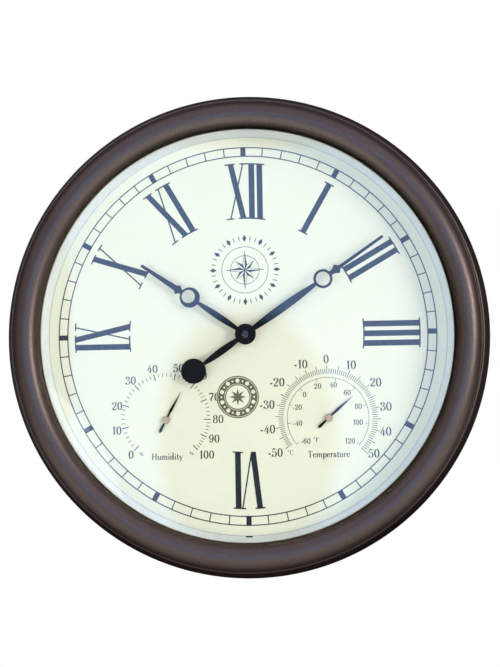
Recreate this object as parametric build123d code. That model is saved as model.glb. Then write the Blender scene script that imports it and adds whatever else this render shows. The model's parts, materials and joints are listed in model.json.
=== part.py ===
from build123d import *
import math
import os

# A round wall clock with a hygrometer and a thermometer in its dial, in millimetres.
# It is drawn lying on its back: x to the right, y up the dial, z out from the wall.
# The last step stands it upright, its front towards -Y and up towards +Z, with the origin in the
# hanger's round hole, in the plane of the wall.

overrun = 1.0
running_gap = 0.05
loose_gap = 0.3

# Front frame, one spun steel ring: a rolled edge, a bead, a skirt and a hemmed side wall
frame_sheet = 1.4
rim_radius = 178.0
rim_depth = 25.0
rim_rounding = 1.2
rear_inset = 1.5
hem_width = 4.0
roll_inset = 19.6
roll_section = 9.4
roll_depth = 42.0
valley_rise = 0.6
skirt_inset = 8.1
bead_inset = 0.7
bead_section = 0.9
ledge_width = 7.0
rear_radius = rim_radius - rear_inset
roll_radius = rim_radius - roll_inset
skirt_radius = rim_radius - skirt_inset
bead_radius = skirt_radius - bead_inset
lip_radius = roll_radius - roll_section

# Glass, its gasket and the white ring that spaces it from the dial
gasket_thickness = 0.6
gasket_inset = 1.4
glass_thickness = 2.5
glass_lap = 4.0
glass_radius = lip_radius + glass_lap
ring_foot_inset = 1.4
ring_lean = 1.6
ring_foot_radius = lip_radius - ring_foot_inset
ring_top_radius = ring_foot_radius + ring_lean
ring_wall = 1.4
ring_flange = 3.0
ring_flange_thickness = 1.2
foot_slot_width = 5.2
foot_slot_height = 2.4

# Dial
dial_face = 24.0
dial_thickness = 1.0
dial_margin = 0.2
dial_radius = ring_foot_radius + ring_wall + ring_flange + dial_margin
ink = 0.1

# Minute track
track_inset = 8.0
track_width = 6.5
track_line = 0.75
minute_line = 0.75
hour_block_width = 3.8
track_outer = ring_foot_radius - track_inset
track_inner = track_outer - track_width

# Roman numerals, base towards the centre, as lengths in the letter's own upright frame
numeral_inset = 5.2
numeral_height = 41.7
numeral_top = track_inner - numeral_inset
numeral_base = numeral_top - numeral_height
serif_thickness = 1.0
serif_overhang = 1.7
thin_serif_overhang = 2.3
thick_stroke = 4.2
thin_stroke = 1.0
cross_width = 10.0
bar_pitch = 7.1
tight_bar_pitch = 6.0
cross_places = {10: -1.1, 11: -5.0, 12: -5.0, 9: 2.9}
nine_bar = -7.4
three_shift = 0.8
vee_left = -8.6
vee_right = 4.7
vee_foot = -3.6
vee_foot_step = 0.7
six_bar = 7.4

# The two gauges left and right of the hands' axis, each scale printed a little off its pivot
humidity_pivot_shares = (-0.3942, -0.4074)
temperature_pivot_shares = (0.3916, -0.4074)
humidity_print_shift = (-0.4, 1.4)
temperature_print_shift = (-0.5, -0.3)
humidity_major = (28.5, 32.9)
humidity_minor = (30.7, 32.9)
humidity_major_line = 0.75
humidity_minor_line = 0.6
# Clock angles of 0 to 100 percent, in steps of ten
humidity_angles = (-135, -103, -72.6, -43, -14.8, 13.3, 41, 66.3, 92.5, 115.4, 135.2)
celsius_base = 32.5
celsius_minor_top = 35.6
celsius_major_top = 38.0
celsius_line = 0.5
# Clock angles of -50 to 50 degrees Celsius, in steps of ten, and of -60 to 120 Fahrenheit, in twenties
celsius_angles = (-125, -100.3, -75, -49.7, -24.6, -0.2, 25.9, 51.9, 78.4, 104.9, 132.6)
fahrenheit_angles = (-128.9, -97, -69.7, -42.3, -15.5, 12.4, 41.9, 71.2, 98.9, 131.3)
fahrenheit_radius = 29.8
fahrenheit_line = 0.6
fahrenheit_tick = 2.3

# Rest angles of the hands and pointers, clockwise from the top
minute_angle = 55.5
hour_angle = 304.4
humidity_angle = 28.0
temperature_angle = 47.5

# Sheet brackets that carry the dial and the back plate inside the frame
bracket_count = 6
bracket_first_angle = 30.0
bracket_span_angle = 8.0
bracket_sheet = 1.2
bracket_gap = 0.1
bracket_pad_length = 31.3
bracket_foot_length = 15.3

# Back plate
back_sheet = 0.8
back_depth = 5.4
back_margin = 0.9
back_radius = rear_radius - hem_width - back_margin
window_half = 33.0
window_rounding = 5.0
vent_radius = 1.6
vent_circles = (6.0, 12.0)
vent_counts = (6, 12)
screw_inset = 5.1
screw_circle = back_radius - screw_inset
screw_shank = 1.45
screw_head = 3.0
screw_head_height = 1.7
screw_length = 6.0
screw_hole = 1.8
recess_width = 0.7
recess_length = 3.2
recess_depth = 1.0

# Keyhole hanger, a hat-shaped strap riveted to the back plate
hanger_inset = 33.6
hanger_height = back_radius - hanger_inset
hanger_sheet = 1.2
hanger_bridge_half = 16.0
hanger_foot_length = 12.0
hanger_half_height = 13.0
keyhole_radius = 4.5
keyhole_slot = 4.5
keyhole_rise = 7.0
rivet_radius = 1.6
rivet_head = 3.0
rivet_head_height = 1.0
rivet_spread = 7.0

# Movement case, a square moulded box behind the dial
case_rear = 6.3
case_front_inner = 20.6
case_front_thickness = 1.6
case_half = 28.0
case_rounding = 4.0
case_wall = 1.2
rear_wall = 1.4
partition_top = -10.7
partition_wall = 0.8
bush_radius = 4.0
bush_top = 27.6
pipe_radius = 2.55
pipe_bore = 1.6
post_radius = 1.3
post_places = ((-23.5, -7.0), (-23.5, 15.5), (24.0, 20.5), (25.2, -9.4))
bearing_boss = 1.9
bearing_rise = 0.7
washer_thickness = 0.4
washer_radius = 7.0
bush_hole = 4.2
rubber_radius = 10.0
nut_height = 2.4
nut_half = 6.0

# Wheels: teeth, module and depths, from the hands back to the motor
motion_module = 0.5
cannon_teeth = 10
minute_wheel_teeth = 30
minute_pinion_teeth = 8
hour_wheel_teeth = 32
knob_teeth = 12
centre_teeth = 60
third_pinion_teeth = 8
centre_module = 0.32
train_module = 0.25
third_teeth = 64
second_pinion_teeth = 8
second_teeth = 48
step_pinion_teeth = 8
step_teeth = 40
rotor_teeth = 8
pressure_angle = 20.0
addendum_share = 0.8
dedendum_share = 1.2
tooth_share = 0.85
flank_points = 4
cannon_depths = (17.3, 18.7)
minute_wheel_depths = (17.4, 18.5)
minute_pinion_top = 20.2
hour_wheel_depths = (19.0, 20.2)
centre_depths = (14.6, 15.6)
third_pinion_depths = (14.2, 16.0)
third_depths = (12.2, 13.2)
second_pinion_depths = (11.8, 13.6)
second_depths = (10.0, 10.8)
step_pinion_depths = (9.6, 11.1)
step_depths = (8.8, 9.6)
rotor_pinion_depths = (8.5, 9.9)
magnet_depths = (10.4, 12.4)
magnet_radius = 2.6
arbor_end_gap = 0.1
centre_pivot = 0.75
train_pivot = 0.45
arbor_radius = 1.55
stud_radius = 0.9
bridge_low = 16.2
bridge_thickness = 0.8
bridge_corners = ((-25.4, -10.3), (26.4, 22.0))
minute_wheel_direction = 180.0
knob_direction = 150.0
third_direction = 125.0
second_direction = 30.0
step_direction = 0.0
rotor_direction = -40.0

# Stepping motor and circuit
stator_depths = (10.9, 11.9)
stator_collar = 4.4
rotor_hole = 3.1
limb_left = 11.5
limb_width = 4.0
limb_right = 23.0
limb_low = -10.3
limb_high = 17.3
limb_band = 2.1
coil_x = 21.5
coil_low = -7.7
coil_high = 14.0
coil_radius = 3.3
core_half = 1.5
bobbin_wall = 0.6
bobbin_flange = 3.6
bobbin_flange_thickness = 1.0
board_corners = ((-25.4, 18.8), (-8.0, 25.8))
board_depths = (9.0, 10.2)
board_post_x = (-23.0, -11.0)
board_post_radius = 1.2
crystal_radius = 1.0
crystal_length = 6.0
crystal_start_x = -24.6
chip_radius = 2.6
chip_height = 1.2
chip_x = -14.0

# Setting knob
stem_radius = 1.2
knob_radius = 5.5
knob_depths = (4.0, 6.0)
knob_ribs = 18
knob_rib_radius = 0.45

# Battery, an AA cell lying in the lower bay, and its contacts
cell_radius = 7.1
cell_length = 49.3
cell_y = -19.0
cell_depth = 14.1
cell_rounding = 0.4
nub_radius = 2.7
nub_length = 1.2
cell_left = -24.3
contact_sheet = 0.4
contact_width = 8.0
contact_height = 9.0
spring_reach = 2.1

# Hands, outlines along the upright hand: half widths and distances from the axis
hand_sheet = 0.6
hour_hand_low = 29.2
hour_collet_low = 27.9
collet_radius = 4.0
minute_hand_low = 31.6
minute_collet_low = 30.5
arbor_top = 33.2
boss_radius = 7.65
hour_boss_radius = 6.9
blade_start = 5.0
hour_blade_halves = (1.1, 2.35, 1.1)
hour_blade_mid = 24.5
hour_ring_centre = 49.3
hour_ring_radius = 7.45
hour_ring_hole = 4.9
hour_ring_shift = 1.3
minute_blade_halves = (1.6, 3.0, 1.3)
minute_blade_mid = 33.0
minute_ring_centre = 69.4
minute_ring_radius = 6.95
minute_ring_hole = 5.1
ring_overlap = 0.6
# Collar in front of each ring, as (distance from the axis, half width), and the stem beyond it
hour_collar = ((56.2, 1.5), (58.4, 2.2), (59.9, 3.8), (61.9, 2.1))
hour_tip = 92.8
hour_tip_half = 1.05
minute_collar = ((75.7, 1.4), (78.3, 1.9), (80.3, 2.7), (81.7, 3.8), (84.0, 1.4), (88.0, 1.2))
minute_tip_gap = 10.3
minute_tip = track_inner - minute_tip_gap
minute_tip_half = 1.0
tail_halves = (1.3, 2.6, 1.1)
tail_mid = 22.0
tail_disc_centre = 46.5
tail_disc_radius = 9.2
weight_radius = 8.6
weight_thickness = 0.9
cap_radius = 3.1
cap_height = 2.2
cap_rounding = 0.8

# Gauge works
cup_radius = 19.0
cup_rear = 12.0
cup_wall = 1.2
cup_flange_radius = 22.0
cup_flange_thickness = 1.2
cup_vent_circle = 12.0
cup_vent_radius = 2.2
cup_vent_count = 8
spindle_radius = 0.6
spindle_boss = 2.2
spindle_boss_height = 1.8
spindle_end_gap = 0.1
eyelet_radius = 1.5
eyelet_flange = 2.3
eyelet_flange_height = 0.3
collar_radius = 1.4
spindle_collar_depths = (24.7, 25.6)
pointer_sheet = 0.3
pointer_hub = 1.5
pointer_halves = (0.45, 0.85, 0.1)
pointer_reaches = (2.5, 9.0, 24.3)
pointer_tail_halves = (0.4, 1.1, 0.1)
pointer_tail_reaches = (2.5, 8.8, 10.9)
hub_cap_radius = 2.6
hub_cap_height = 1.2
hub_cap_rounding = 0.4
coil_strip = 0.5
coil_depths = (16.0, 20.0)
coil_inner = 2.4
coil_pitch = 2.8
coil_turns = 4
coil_arbor_radius = 1.4
coil_post_width = 1.6

dial_back = dial_face - dial_thickness
humidity_pivot = tuple(dial_radius * share for share in humidity_pivot_shares)
temperature_pivot = tuple(dial_radius * share for share in temperature_pivot_shares)
glass_front = roll_depth - frame_sheet - gasket_thickness
glass_back = glass_front - glass_thickness
case_front_face = case_front_inner + case_front_thickness
case_floor = case_rear + rear_wall
bridge_top = bridge_low + bridge_thickness


def disc(radius, low, high, x=0, y=0):
    return extrude(Pos(x, y, low) * Circle(radius), high - low)


def tube(outer, inner, low, high, x=0, y=0):
    return extrude(Pos(x, y, low) * (Circle(outer) - Circle(inner)), high - low)


def slab(sketch, low, high):
    return extrude(Pos(0, 0, low) * sketch, high - low)


def block(left, right, bottom, top):
    middle = ((left + right) / 2, (bottom + top) / 2)
    return Pos(*middle) * Rectangle(right - left, top - bottom)


def turned(section):
    return revolve(Plane.XZ * section, Axis.Z)


def polar(radius, clock_angle):
    angle = math.radians(90 - clock_angle)
    return radius * math.cos(angle), radius * math.sin(angle)


def clocked(shape, clock_angle):
    return Rot(0, 0, -clock_angle) * shape


def outline(points):
    return make_face(Polyline(*points, close=True))


# Front frame

def front_frame():
    lip = lip_radius
    valley = roll_depth + valley_rise
    under_valley = valley - frame_sheet
    inner_section = roll_section - frame_sheet
    outer_end = roll_radius + math.sqrt(roll_section**2 - valley_rise**2)
    inner_end = roll_radius + math.sqrt(inner_section**2 - (under_valley - roll_depth) ** 2)
    roll = ThreePointArc((lip, roll_depth), (roll_radius, roll_depth + roll_section), (outer_end, valley))
    wall = Polyline(
        (outer_end, valley),
        (skirt_radius, valley),
        (rim_radius, rim_depth),
        (rear_radius, 0),
        (rear_radius - hem_width, 0),
        (rear_radius - hem_width, frame_sheet),
        (rear_radius - frame_sheet, frame_sheet),
        (rim_radius - frame_sheet, rim_depth),
        (skirt_radius - frame_sheet, under_valley),
        (inner_end, under_valley),
    )
    inner_roll = ThreePointArc(
        (inner_end, under_valley),
        (roll_radius, roll_depth + inner_section),
        (roll_radius - inner_section, roll_depth),
    )
    ledge = Polyline(
        (roll_radius - inner_section, roll_depth),
        (lip + ledge_width, roll_depth),
        (lip + ledge_width, roll_depth - frame_sheet),
        (lip, roll_depth - frame_sheet),
        (lip, roll_depth),
    )
    edges = [*roll.edges(), *wall.edges(), *inner_roll.edges(), *ledge.edges()]
    section = make_face(edges)
    rim_corner = section.vertices().sort_by_distance((rim_radius, rim_depth, 0))[0]
    section = fillet(rim_corner, rim_rounding)
    bead = Pos(bead_radius, valley) * Circle(bead_section)
    return turned(section + bead)


def glass_gasket():
    outer, inner = lip_radius + ledge_width, lip_radius + gasket_inset
    return tube(outer, inner, glass_front, glass_front + gasket_thickness)


def front_glass():
    return disc(glass_radius, glass_back, glass_front)


def inner_ring():
    flange_edge = ring_foot_radius + ring_wall + ring_flange
    slope = (ring_top_radius - ring_foot_radius) / (glass_back - dial_face)
    step = slope * ring_flange_thickness
    section = outline(
        (
            (ring_foot_radius, dial_face),
            (flange_edge, dial_face),
            (flange_edge, dial_face + ring_flange_thickness),
            (ring_foot_radius + ring_wall + step, dial_face + ring_flange_thickness),
            (ring_top_radius + ring_wall - step, glass_back - ring_flange_thickness),
            (flange_edge, glass_back - ring_flange_thickness),
            (flange_edge, glass_back),
            (ring_top_radius, glass_back),
        )
    )
    bottom = -ring_foot_radius - ring_wall
    slot = block(-foot_slot_width / 2, foot_slot_width / 2, bottom, bottom + ring_wall + overrun)
    return turned(section) - slab(slot, dial_face - overrun, dial_face + foot_slot_height)


# Dial and the print on it

def dial_plate():
    plate = Circle(dial_radius) - Circle(bush_hole)
    for pivot in (humidity_pivot, temperature_pivot):
        plate -= Pos(*pivot) * Circle(eyelet_radius)
    return slab(plate, dial_back, dial_face)


def printed(sketch):
    return slab(sketch, dial_face, dial_face + ink)


def numeral_stroke(base_x, top_x, width):
    half = width / 2
    low, high = numeral_base - overrun, numeral_top + overrun
    return outline(((base_x - half, low), (base_x + half, low), (top_x + half, high), (top_x - half, high)))


def serif_band(radius):
    return Circle(radius + serif_thickness) - Circle(radius)


def serif(left, right, radius):
    column = block(left, right, numeral_base - serif_overhang - overrun, numeral_top + overrun)
    return serif_band(radius) & column


def numeral(strokes, clock_angle):
    """Strokes are (base x, top x, width); each gets a serif at both ends, cut to the numeral's ring."""
    ink_area = Sketch()
    for base_x, top_x, width in strokes:
        ink_area += numeral_stroke(base_x, top_x, width)
    ink_area = ink_area & (Circle(numeral_top) - Circle(numeral_base))
    for base_x, top_x, width in strokes:
        reach = width / 2 + (thin_serif_overhang if width == thin_stroke else serif_overhang)
        ink_area += serif(base_x - reach, base_x + reach, numeral_base)
        ink_area += serif(top_x - reach, top_x + reach, numeral_top - serif_thickness)
    return clocked(ink_area, clock_angle)


def bars(first_x, count, pitch):
    return [(first_x + i * pitch, first_x + i * pitch, thick_stroke) for i in range(count)]


def cross(middle_x):
    left, right = middle_x - cross_width / 2, middle_x + cross_width / 2
    return [(right, left, thick_stroke), (left, right, thin_stroke)]


def vee_numeral(clock_angle):
    """A six: the vee has no serif at its foot, the bar has one at both ends."""
    vee = ((vee_foot, vee_left, thick_stroke), (vee_foot + vee_foot_step, vee_right, thin_stroke))
    bar = (six_bar, six_bar, thick_stroke)
    ink_area = Sketch()
    for base_x, top_x, width in (*vee, bar):
        ink_area += numeral_stroke(base_x, top_x, width)
    ink_area = ink_area & (Circle(numeral_top) - Circle(numeral_base))
    low, high = numeral_base - overrun, numeral_top + overrun
    foot, head = vee[1][0] + thin_stroke / 2, vee_right + thin_stroke / 2
    bar_side = six_bar - thick_stroke / 2
    ink_area -= outline(((foot, low), (bar_side, low), (bar_side, high), (head, high)))
    for _, top_x, width in (*vee, bar):
        reach = width / 2 + (thin_serif_overhang if width == thin_stroke else serif_overhang)
        ink_area += serif(top_x - reach, top_x + reach, numeral_top - serif_thickness)
    reach = thick_stroke / 2 + serif_overhang
    ink_area += serif(six_bar - reach, six_bar + reach, numeral_base)
    return clocked(ink_area, clock_angle)


def hour_numerals():
    figures = [
        numeral(cross(cross_places[12]) + bars(tight_bar_pitch, 2, tight_bar_pitch), 0),
        numeral(bars(0, 1, bar_pitch), 30),
        numeral(bars(-bar_pitch / 2, 2, bar_pitch), 60),
        numeral(bars(three_shift - bar_pitch, 3, bar_pitch), 90),
        vee_numeral(180),
        numeral(bars(nine_bar, 1, bar_pitch) + cross(cross_places[9]), 270),
        numeral(cross(cross_places[10]), 300),
        numeral(cross(cross_places[11]) + bars(tight_bar_pitch, 1, bar_pitch), 330),
    ]
    return [printed(figure) for figure in figures]


def minute_track():
    half = track_line / 2
    track = Circle(track_outer + half) - Circle(track_outer - half)
    track += Circle(track_inner + half) - Circle(track_inner - half)
    for minute in range(60):
        width = minute_line if minute % 5 else hour_block_width
        track += clocked(block(-width / 2, width / 2, track_inner, track_outer), 6 * minute)
    return printed(track)


def between(angles, place):
    """The angle at a place counted in the steps of a scale, which are not all alike."""
    lower = min(int(place), len(angles) - 2)
    return angles[lower] + (angles[lower + 1] - angles[lower]) * (place - lower)


def tick(low, high, line, angle):
    return clocked(block(-line / 2, line / 2, low, high), angle)


def humidity_scale():
    scale = []
    for percent in range(0, 101, 2):
        major = percent % 10 == 0
        low, high = humidity_major if major else humidity_minor
        line = humidity_major_line if major else humidity_minor_line
        scale.append(tick(low, high, line, between(humidity_angles, percent / 10)))
    place = Pos(*humidity_pivot) * Pos(*humidity_print_shift)
    return [place * printed(mark) for mark in scale]


def temperature_scale():
    half = fahrenheit_line / 2
    arc = Circle(fahrenheit_radius + half) - Circle(fahrenheit_radius - half)
    reach = fahrenheit_radius + overrun
    left, right = polar(reach, fahrenheit_angles[0]), polar(reach, fahrenheit_angles[-1])
    arc -= outline([(0, 0), right, (right[0], -reach), (left[0], -reach), left])
    for angle in fahrenheit_angles:
        arc += tick(fahrenheit_radius - fahrenheit_tick, fahrenheit_radius, fahrenheit_line, angle)
    marks = [arc]
    for step in range(10 * (len(celsius_angles) - 1) + 1):
        top = celsius_minor_top if step % 5 else celsius_major_top
        marks.append(tick(celsius_base, top, celsius_line, between(celsius_angles, step / 10)))
    place = Pos(*temperature_pivot) * Pos(*temperature_print_shift)
    return [place * printed(mark) for mark in marks]


# Back of the clock

def bracket_angles():
    return [bracket_first_angle + i * 360 / bracket_count for i in range(bracket_count)]


def frame_brackets():
    foot_low = back_depth + back_sheet
    pad_high = dial_back
    lean = (rim_radius - rear_radius) / (rim_depth - frame_sheet)
    outer = rear_radius - frame_sheet + lean * (foot_low - frame_sheet) - bracket_gap
    inner = outer - bracket_sheet
    pad, foot = outer - bracket_pad_length, outer - bracket_foot_length
    section = outline(
        (
            (pad, pad_high),
            (outer, pad_high),
            (outer, foot_low),
            (foot, foot_low),
            (foot, foot_low + bracket_sheet),
            (inner, foot_low + bracket_sheet),
            (inner, pad_high - bracket_sheet),
            (pad, pad_high - bracket_sheet),
        )
    )
    strip = revolve(Plane.XZ * section, Axis.Z, bracket_span_angle)
    middle = 90 - bracket_span_angle / 2
    screw_bore = disc(screw_shank, 0, dial_face, *polar(screw_circle, 0))
    one = Rot(0, 0, middle) * strip - screw_bore
    return [clocked(one, angle) for angle in bracket_angles()]


def back_plate():
    window = RectangleRounded(2 * window_half, 2 * window_half, window_rounding)
    plate = Circle(back_radius) - window
    for angle in bracket_angles():
        plate -= Pos(*polar(screw_circle, angle)) * Circle(screw_hole)
    for pivot in (humidity_pivot, temperature_pivot):
        for circle, count in zip(vent_circles, vent_counts):
            for i in range(count):
                plate -= Pos(*pivot) * Pos(*polar(circle, i * 360 / count)) * Circle(vent_radius)
    for x, y in rivet_places():
        plate -= Pos(x, y) * Circle(rivet_radius)
    return slab(plate, back_depth, back_depth + back_sheet)


def back_screws():
    base = back_depth
    arm = Rectangle(recess_length, recess_width)
    recess = slab(arm + Rot(0, 0, 90) * arm, 0, base - screw_head_height + recess_depth)
    head = disc(screw_head, base - screw_head_height, base)
    head = fillet(head.edges().sort_by(Axis.Z)[0], screw_head_height / 2) - recess
    one = head + disc(screw_shank, base, base + screw_length)
    return [Pos(*polar(screw_circle, angle)) * one for angle in bracket_angles()]


def rivet_places():
    x = hanger_bridge_half + hanger_foot_length / 2 + hanger_sheet / 2
    return [(sx * x, hanger_height + sy * rivet_spread) for sx in (-1, 1) for sy in (-1, 1)]


def hanger_plate():
    legs = hanger_bridge_half + hanger_sheet
    feet = legs + hanger_foot_length
    low, high = hanger_height - hanger_half_height, hanger_height + hanger_half_height
    keyhole = Circle(keyhole_radius) + block(-keyhole_slot / 2, keyhole_slot / 2, 0, keyhole_rise)
    keyhole += Pos(0, keyhole_rise) * Circle(keyhole_slot / 2)
    bridge = block(-legs, legs, low, high) - Pos(0, hanger_height) * keyhole
    plate = slab(bridge, 0, hanger_sheet)
    for side in (-1, 1):
        leg = block(*sorted((side * hanger_bridge_half, side * legs)), low, high)
        plate += slab(leg, 0, back_depth)
        foot = block(*sorted((side * hanger_bridge_half, side * feet)), low, high)
        for x, y in rivet_places():
            foot -= Pos(x, y) * Circle(rivet_radius)
        plate += slab(foot, back_depth - hanger_sheet, back_depth)
    return plate


def hanger_rivets():
    rear = back_depth - hanger_sheet
    front = back_depth + back_sheet
    one = disc(rivet_radius, rear, front)
    one += disc(rivet_head, rear - rivet_head_height, rear)
    one += disc(rivet_head, front, front + rivet_head_height)
    return [Pos(x, y) * one for x, y in rivet_places()]


# Wheels of the movement

def half_tooth(radius, teeth, module):
    """Half the angle that a tooth fills at a radius, from the involute of its base circle."""
    pressure = math.radians(pressure_angle)
    base = teeth * module / 2 * math.cos(pressure)
    here = math.acos(base / max(radius, base))
    swing = math.tan(pressure) - pressure - math.tan(here) + here
    return math.degrees(tooth_share * math.pi / (2 * teeth) + swing)


def toothed(teeth, module, low, high, first_tooth=0.0):
    pitch = teeth * module / 2
    tip, root = pitch + module * addendum_share, pitch - module * dedendum_share
    flank = max(root, pitch * math.cos(math.radians(pressure_angle)))
    steps = [flank + (tip - flank) * i / (flank_points - 1) for i in range(flank_points)]
    radii = steps if root == flank else [root] + steps
    points = []
    for tooth in range(teeth):
        middle = first_tooth + tooth * 360 / teeth
        sides = [(r, middle - half_tooth(r, teeth, module)) for r in radii]
        sides += [(r, middle + half_tooth(r, teeth, module)) for r in reversed(radii)]
        points += [(r * math.cos(math.radians(a)), r * math.sin(math.radians(a))) for r, a in sides]
    return slab(outline(points), low, high)


def next_place(place, module, teeth, next_teeth, direction):
    distance = module * (teeth + next_teeth) / 2
    angle = math.radians(direction)
    return place[0] + distance * math.cos(angle), place[1] + distance * math.sin(angle)


def meshed(first_tooth, teeth, next_teeth, direction):
    """The next wheel's first tooth angle, so that its gap meets the tooth that faces it."""
    return direction + 180 + 180 / next_teeth + (direction - first_tooth) * teeth / next_teeth


def facing(place, module, teeth, next_teeth, direction):
    return next_place(place, module, teeth, next_teeth, direction), meshed(0, teeth, next_teeth, direction)


axis = (0, 0)
minute_wheel_place, minute_wheel_tooth = facing(
    axis, motion_module, cannon_teeth, minute_wheel_teeth, minute_wheel_direction
)
hour_wheel_tooth = meshed(0, minute_pinion_teeth, hour_wheel_teeth, minute_wheel_direction + 180)
knob_place = next_place(minute_wheel_place, motion_module, minute_wheel_teeth, knob_teeth, knob_direction)
knob_tooth = meshed(minute_wheel_tooth, minute_wheel_teeth, knob_teeth, knob_direction)
third_place, third_tooth = facing(axis, centre_module, centre_teeth, third_pinion_teeth, third_direction)
second_place, second_tooth = facing(
    third_place, train_module, third_teeth, second_pinion_teeth, second_direction
)
step_place, step_tooth = facing(second_place, train_module, second_teeth, step_pinion_teeth, step_direction)
rotor_place, rotor_tooth = facing(step_place, train_module, step_teeth, rotor_teeth, rotor_direction)


def centre_arbor():
    rear = case_floor + arbor_end_gap
    arbor = disc(centre_pivot, rear, cannon_depths[0]) + disc(arbor_radius, cannon_depths[0], arbor_top)
    return arbor + toothed(cannon_teeth, motion_module, *cannon_depths)


def centre_wheel():
    return toothed(centre_teeth, centre_module, *centre_depths) - disc(centre_pivot, 0, dial_face)


def minute_wheel():
    low, high = minute_wheel_depths
    wheel = toothed(minute_wheel_teeth, motion_module, low, high, minute_wheel_tooth)
    wheel += toothed(minute_pinion_teeth, motion_module, high, minute_pinion_top)
    return Pos(*minute_wheel_place) * (wheel - disc(stud_radius + running_gap, low - overrun, dial_face))


def hour_wheel():
    low, high = hour_wheel_depths
    wheel = toothed(hour_wheel_teeth, motion_module, low, high, hour_wheel_tooth)
    wheel += disc(pipe_radius, low, hour_hand_low + hand_sheet)
    return wheel - disc(pipe_bore, 0, arbor_top)


def arbored(place, wheels):
    shaft = disc(train_pivot, case_floor + arbor_end_gap, bridge_top - arbor_end_gap)
    for wheel in wheels:
        shaft += wheel
    return Pos(*place) * shaft


def third_wheel():
    pinion = toothed(third_pinion_teeth, centre_module, *third_pinion_depths, third_tooth)
    return arbored(third_place, (pinion, toothed(third_teeth, train_module, *third_depths)))


def second_wheel():
    pinion = toothed(second_pinion_teeth, train_module, *second_pinion_depths, second_tooth)
    return arbored(second_place, (pinion, toothed(second_teeth, train_module, *second_depths)))


def step_wheel():
    pinion = toothed(step_pinion_teeth, train_module, *step_pinion_depths, step_tooth)
    return arbored(step_place, (pinion, toothed(step_teeth, train_module, *step_depths)))


def rotor():
    pinion = toothed(rotor_teeth, train_module, *rotor_pinion_depths, rotor_tooth)
    return arbored(rotor_place, (pinion,))


def rotor_magnet():
    return tube(magnet_radius, train_pivot, *magnet_depths, *rotor_place)


def setting_knob():
    low, high = knob_depths
    grip = Circle(knob_radius)
    for i in range(knob_ribs):
        grip += Pos(*polar(knob_radius, i * 360 / knob_ribs)) * Circle(knob_rib_radius)
    knob = slab(grip, low, high) + disc(stem_radius, high, minute_wheel_depths[1])
    knob += toothed(knob_teeth, motion_module, *minute_wheel_depths, knob_tooth)
    return Pos(*knob_place) * knob


# Movement case and what is fixed in it

def pivot_list():
    train = (third_place, second_place, step_place, rotor_place)
    return [(axis, centre_pivot)] + [(place, train_pivot) for place in train]


def case_back():
    outer = RectangleRounded(2 * case_half, 2 * case_half, case_rounding)
    inner_half = case_half - case_wall
    inner = RectangleRounded(2 * inner_half, 2 * inner_half, case_rounding - case_wall)
    case = slab(outer - inner, case_rear, case_front_inner) + slab(outer, case_rear, case_floor)
    partition_low = partition_top - partition_wall
    case += slab(block(-inner_half, inner_half, partition_low, partition_top), case_rear, case_front_inner)
    bay = block(-inner_half, inner_half, -inner_half, partition_low)
    case -= slab(bay, case_rear - overrun, case_front_inner)
    for x, y in post_places:
        case += disc(post_radius, case_rear, bridge_low, x, y)
    for place, pivot in pivot_list():
        boss = disc(bearing_boss, case_floor, case_floor + bearing_rise, *place)
        case += boss - disc(pivot + running_gap, case_floor, case_floor + bearing_rise, *place)
    board_middle = (board_corners[0][1] + board_corners[1][1]) / 2
    for x in board_post_x:
        case += disc(board_post_radius, case_rear, board_depths[0], x, board_middle)
    return case - disc(stem_radius + running_gap, case_rear - overrun, bridge_low, *knob_place)


def case_front():
    outer = RectangleRounded(2 * case_half, 2 * case_half, case_rounding)
    case = slab(outer, case_front_inner, case_front_face) + disc(bush_radius, case_front_face, bush_top)
    for x, y in post_places:
        case += disc(post_radius, bridge_top, case_front_inner, x, y)
    inner_half = case_half - case_wall
    trough = Plane.YZ * Pos(cell_y, cell_depth) * Circle(cell_radius + loose_gap)
    case -= extrude(trough, inner_half, both=True)
    return case - disc(pipe_radius + running_gap, bridge_top, bush_top + overrun)


def train_bridge():
    (left, low), (right, high) = bridge_corners
    bridge = block(left, right, low, high)
    for place, pivot in pivot_list():
        bridge -= Pos(*place) * Circle(pivot + running_gap)
    bridge -= Pos(*knob_place) * Circle(stem_radius + running_gap)
    stud = disc(stud_radius, bridge_low, minute_pinion_top, *minute_wheel_place)
    return slab(bridge, bridge_low, bridge_top) + stud


def rubber_washer():
    return tube(rubber_radius, bush_radius, case_front_face, dial_back)


def brass_washer():
    return tube(washer_radius, bush_radius, dial_face, dial_face + washer_thickness)


def mounting_nut():
    low = dial_face + washer_thickness
    hexagon = RegularPolygon(nut_half, 6, major_radius=False) - Circle(bush_radius)
    return slab(hexagon, low, low + nut_height)


def stator():
    plate = block(limb_left, limb_left + limb_width, limb_low, limb_high)
    plate += block(limb_left, limb_right, limb_low, limb_low + limb_band)
    plate += block(limb_left, limb_right, limb_high - limb_band, limb_high)
    plate += block(coil_x - core_half, coil_x + core_half, limb_low, limb_high)
    plate += Pos(*rotor_place) * Circle(stator_collar)
    return slab(plate - Pos(*rotor_place) * Circle(rotor_hole), *stator_depths)


def across_coil(sketch, low, high):
    """A length of the coil, whose axis runs up the case through the stator's core."""
    depth = (stator_depths[0] + stator_depths[1]) / 2
    return extrude(Plane.XZ.offset(-low) * Pos(coil_x, depth) * sketch, low - high)


def core_hole():
    return Rectangle(2 * core_half, stator_depths[1] - stator_depths[0])


def spool():
    across = stator_depths[1] - stator_depths[0] + 2 * bobbin_wall
    return RectangleRounded(2 * core_half + 2 * bobbin_wall, across, bobbin_wall / 2)


def coil_bobbin():
    bobbin = across_coil(spool() - core_hole(), coil_low, coil_high)
    flange = Circle(bobbin_flange) - core_hole()
    for low in (coil_low, coil_high - bobbin_flange_thickness):
        bobbin += across_coil(flange, low, low + bobbin_flange_thickness)
    return bobbin


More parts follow.
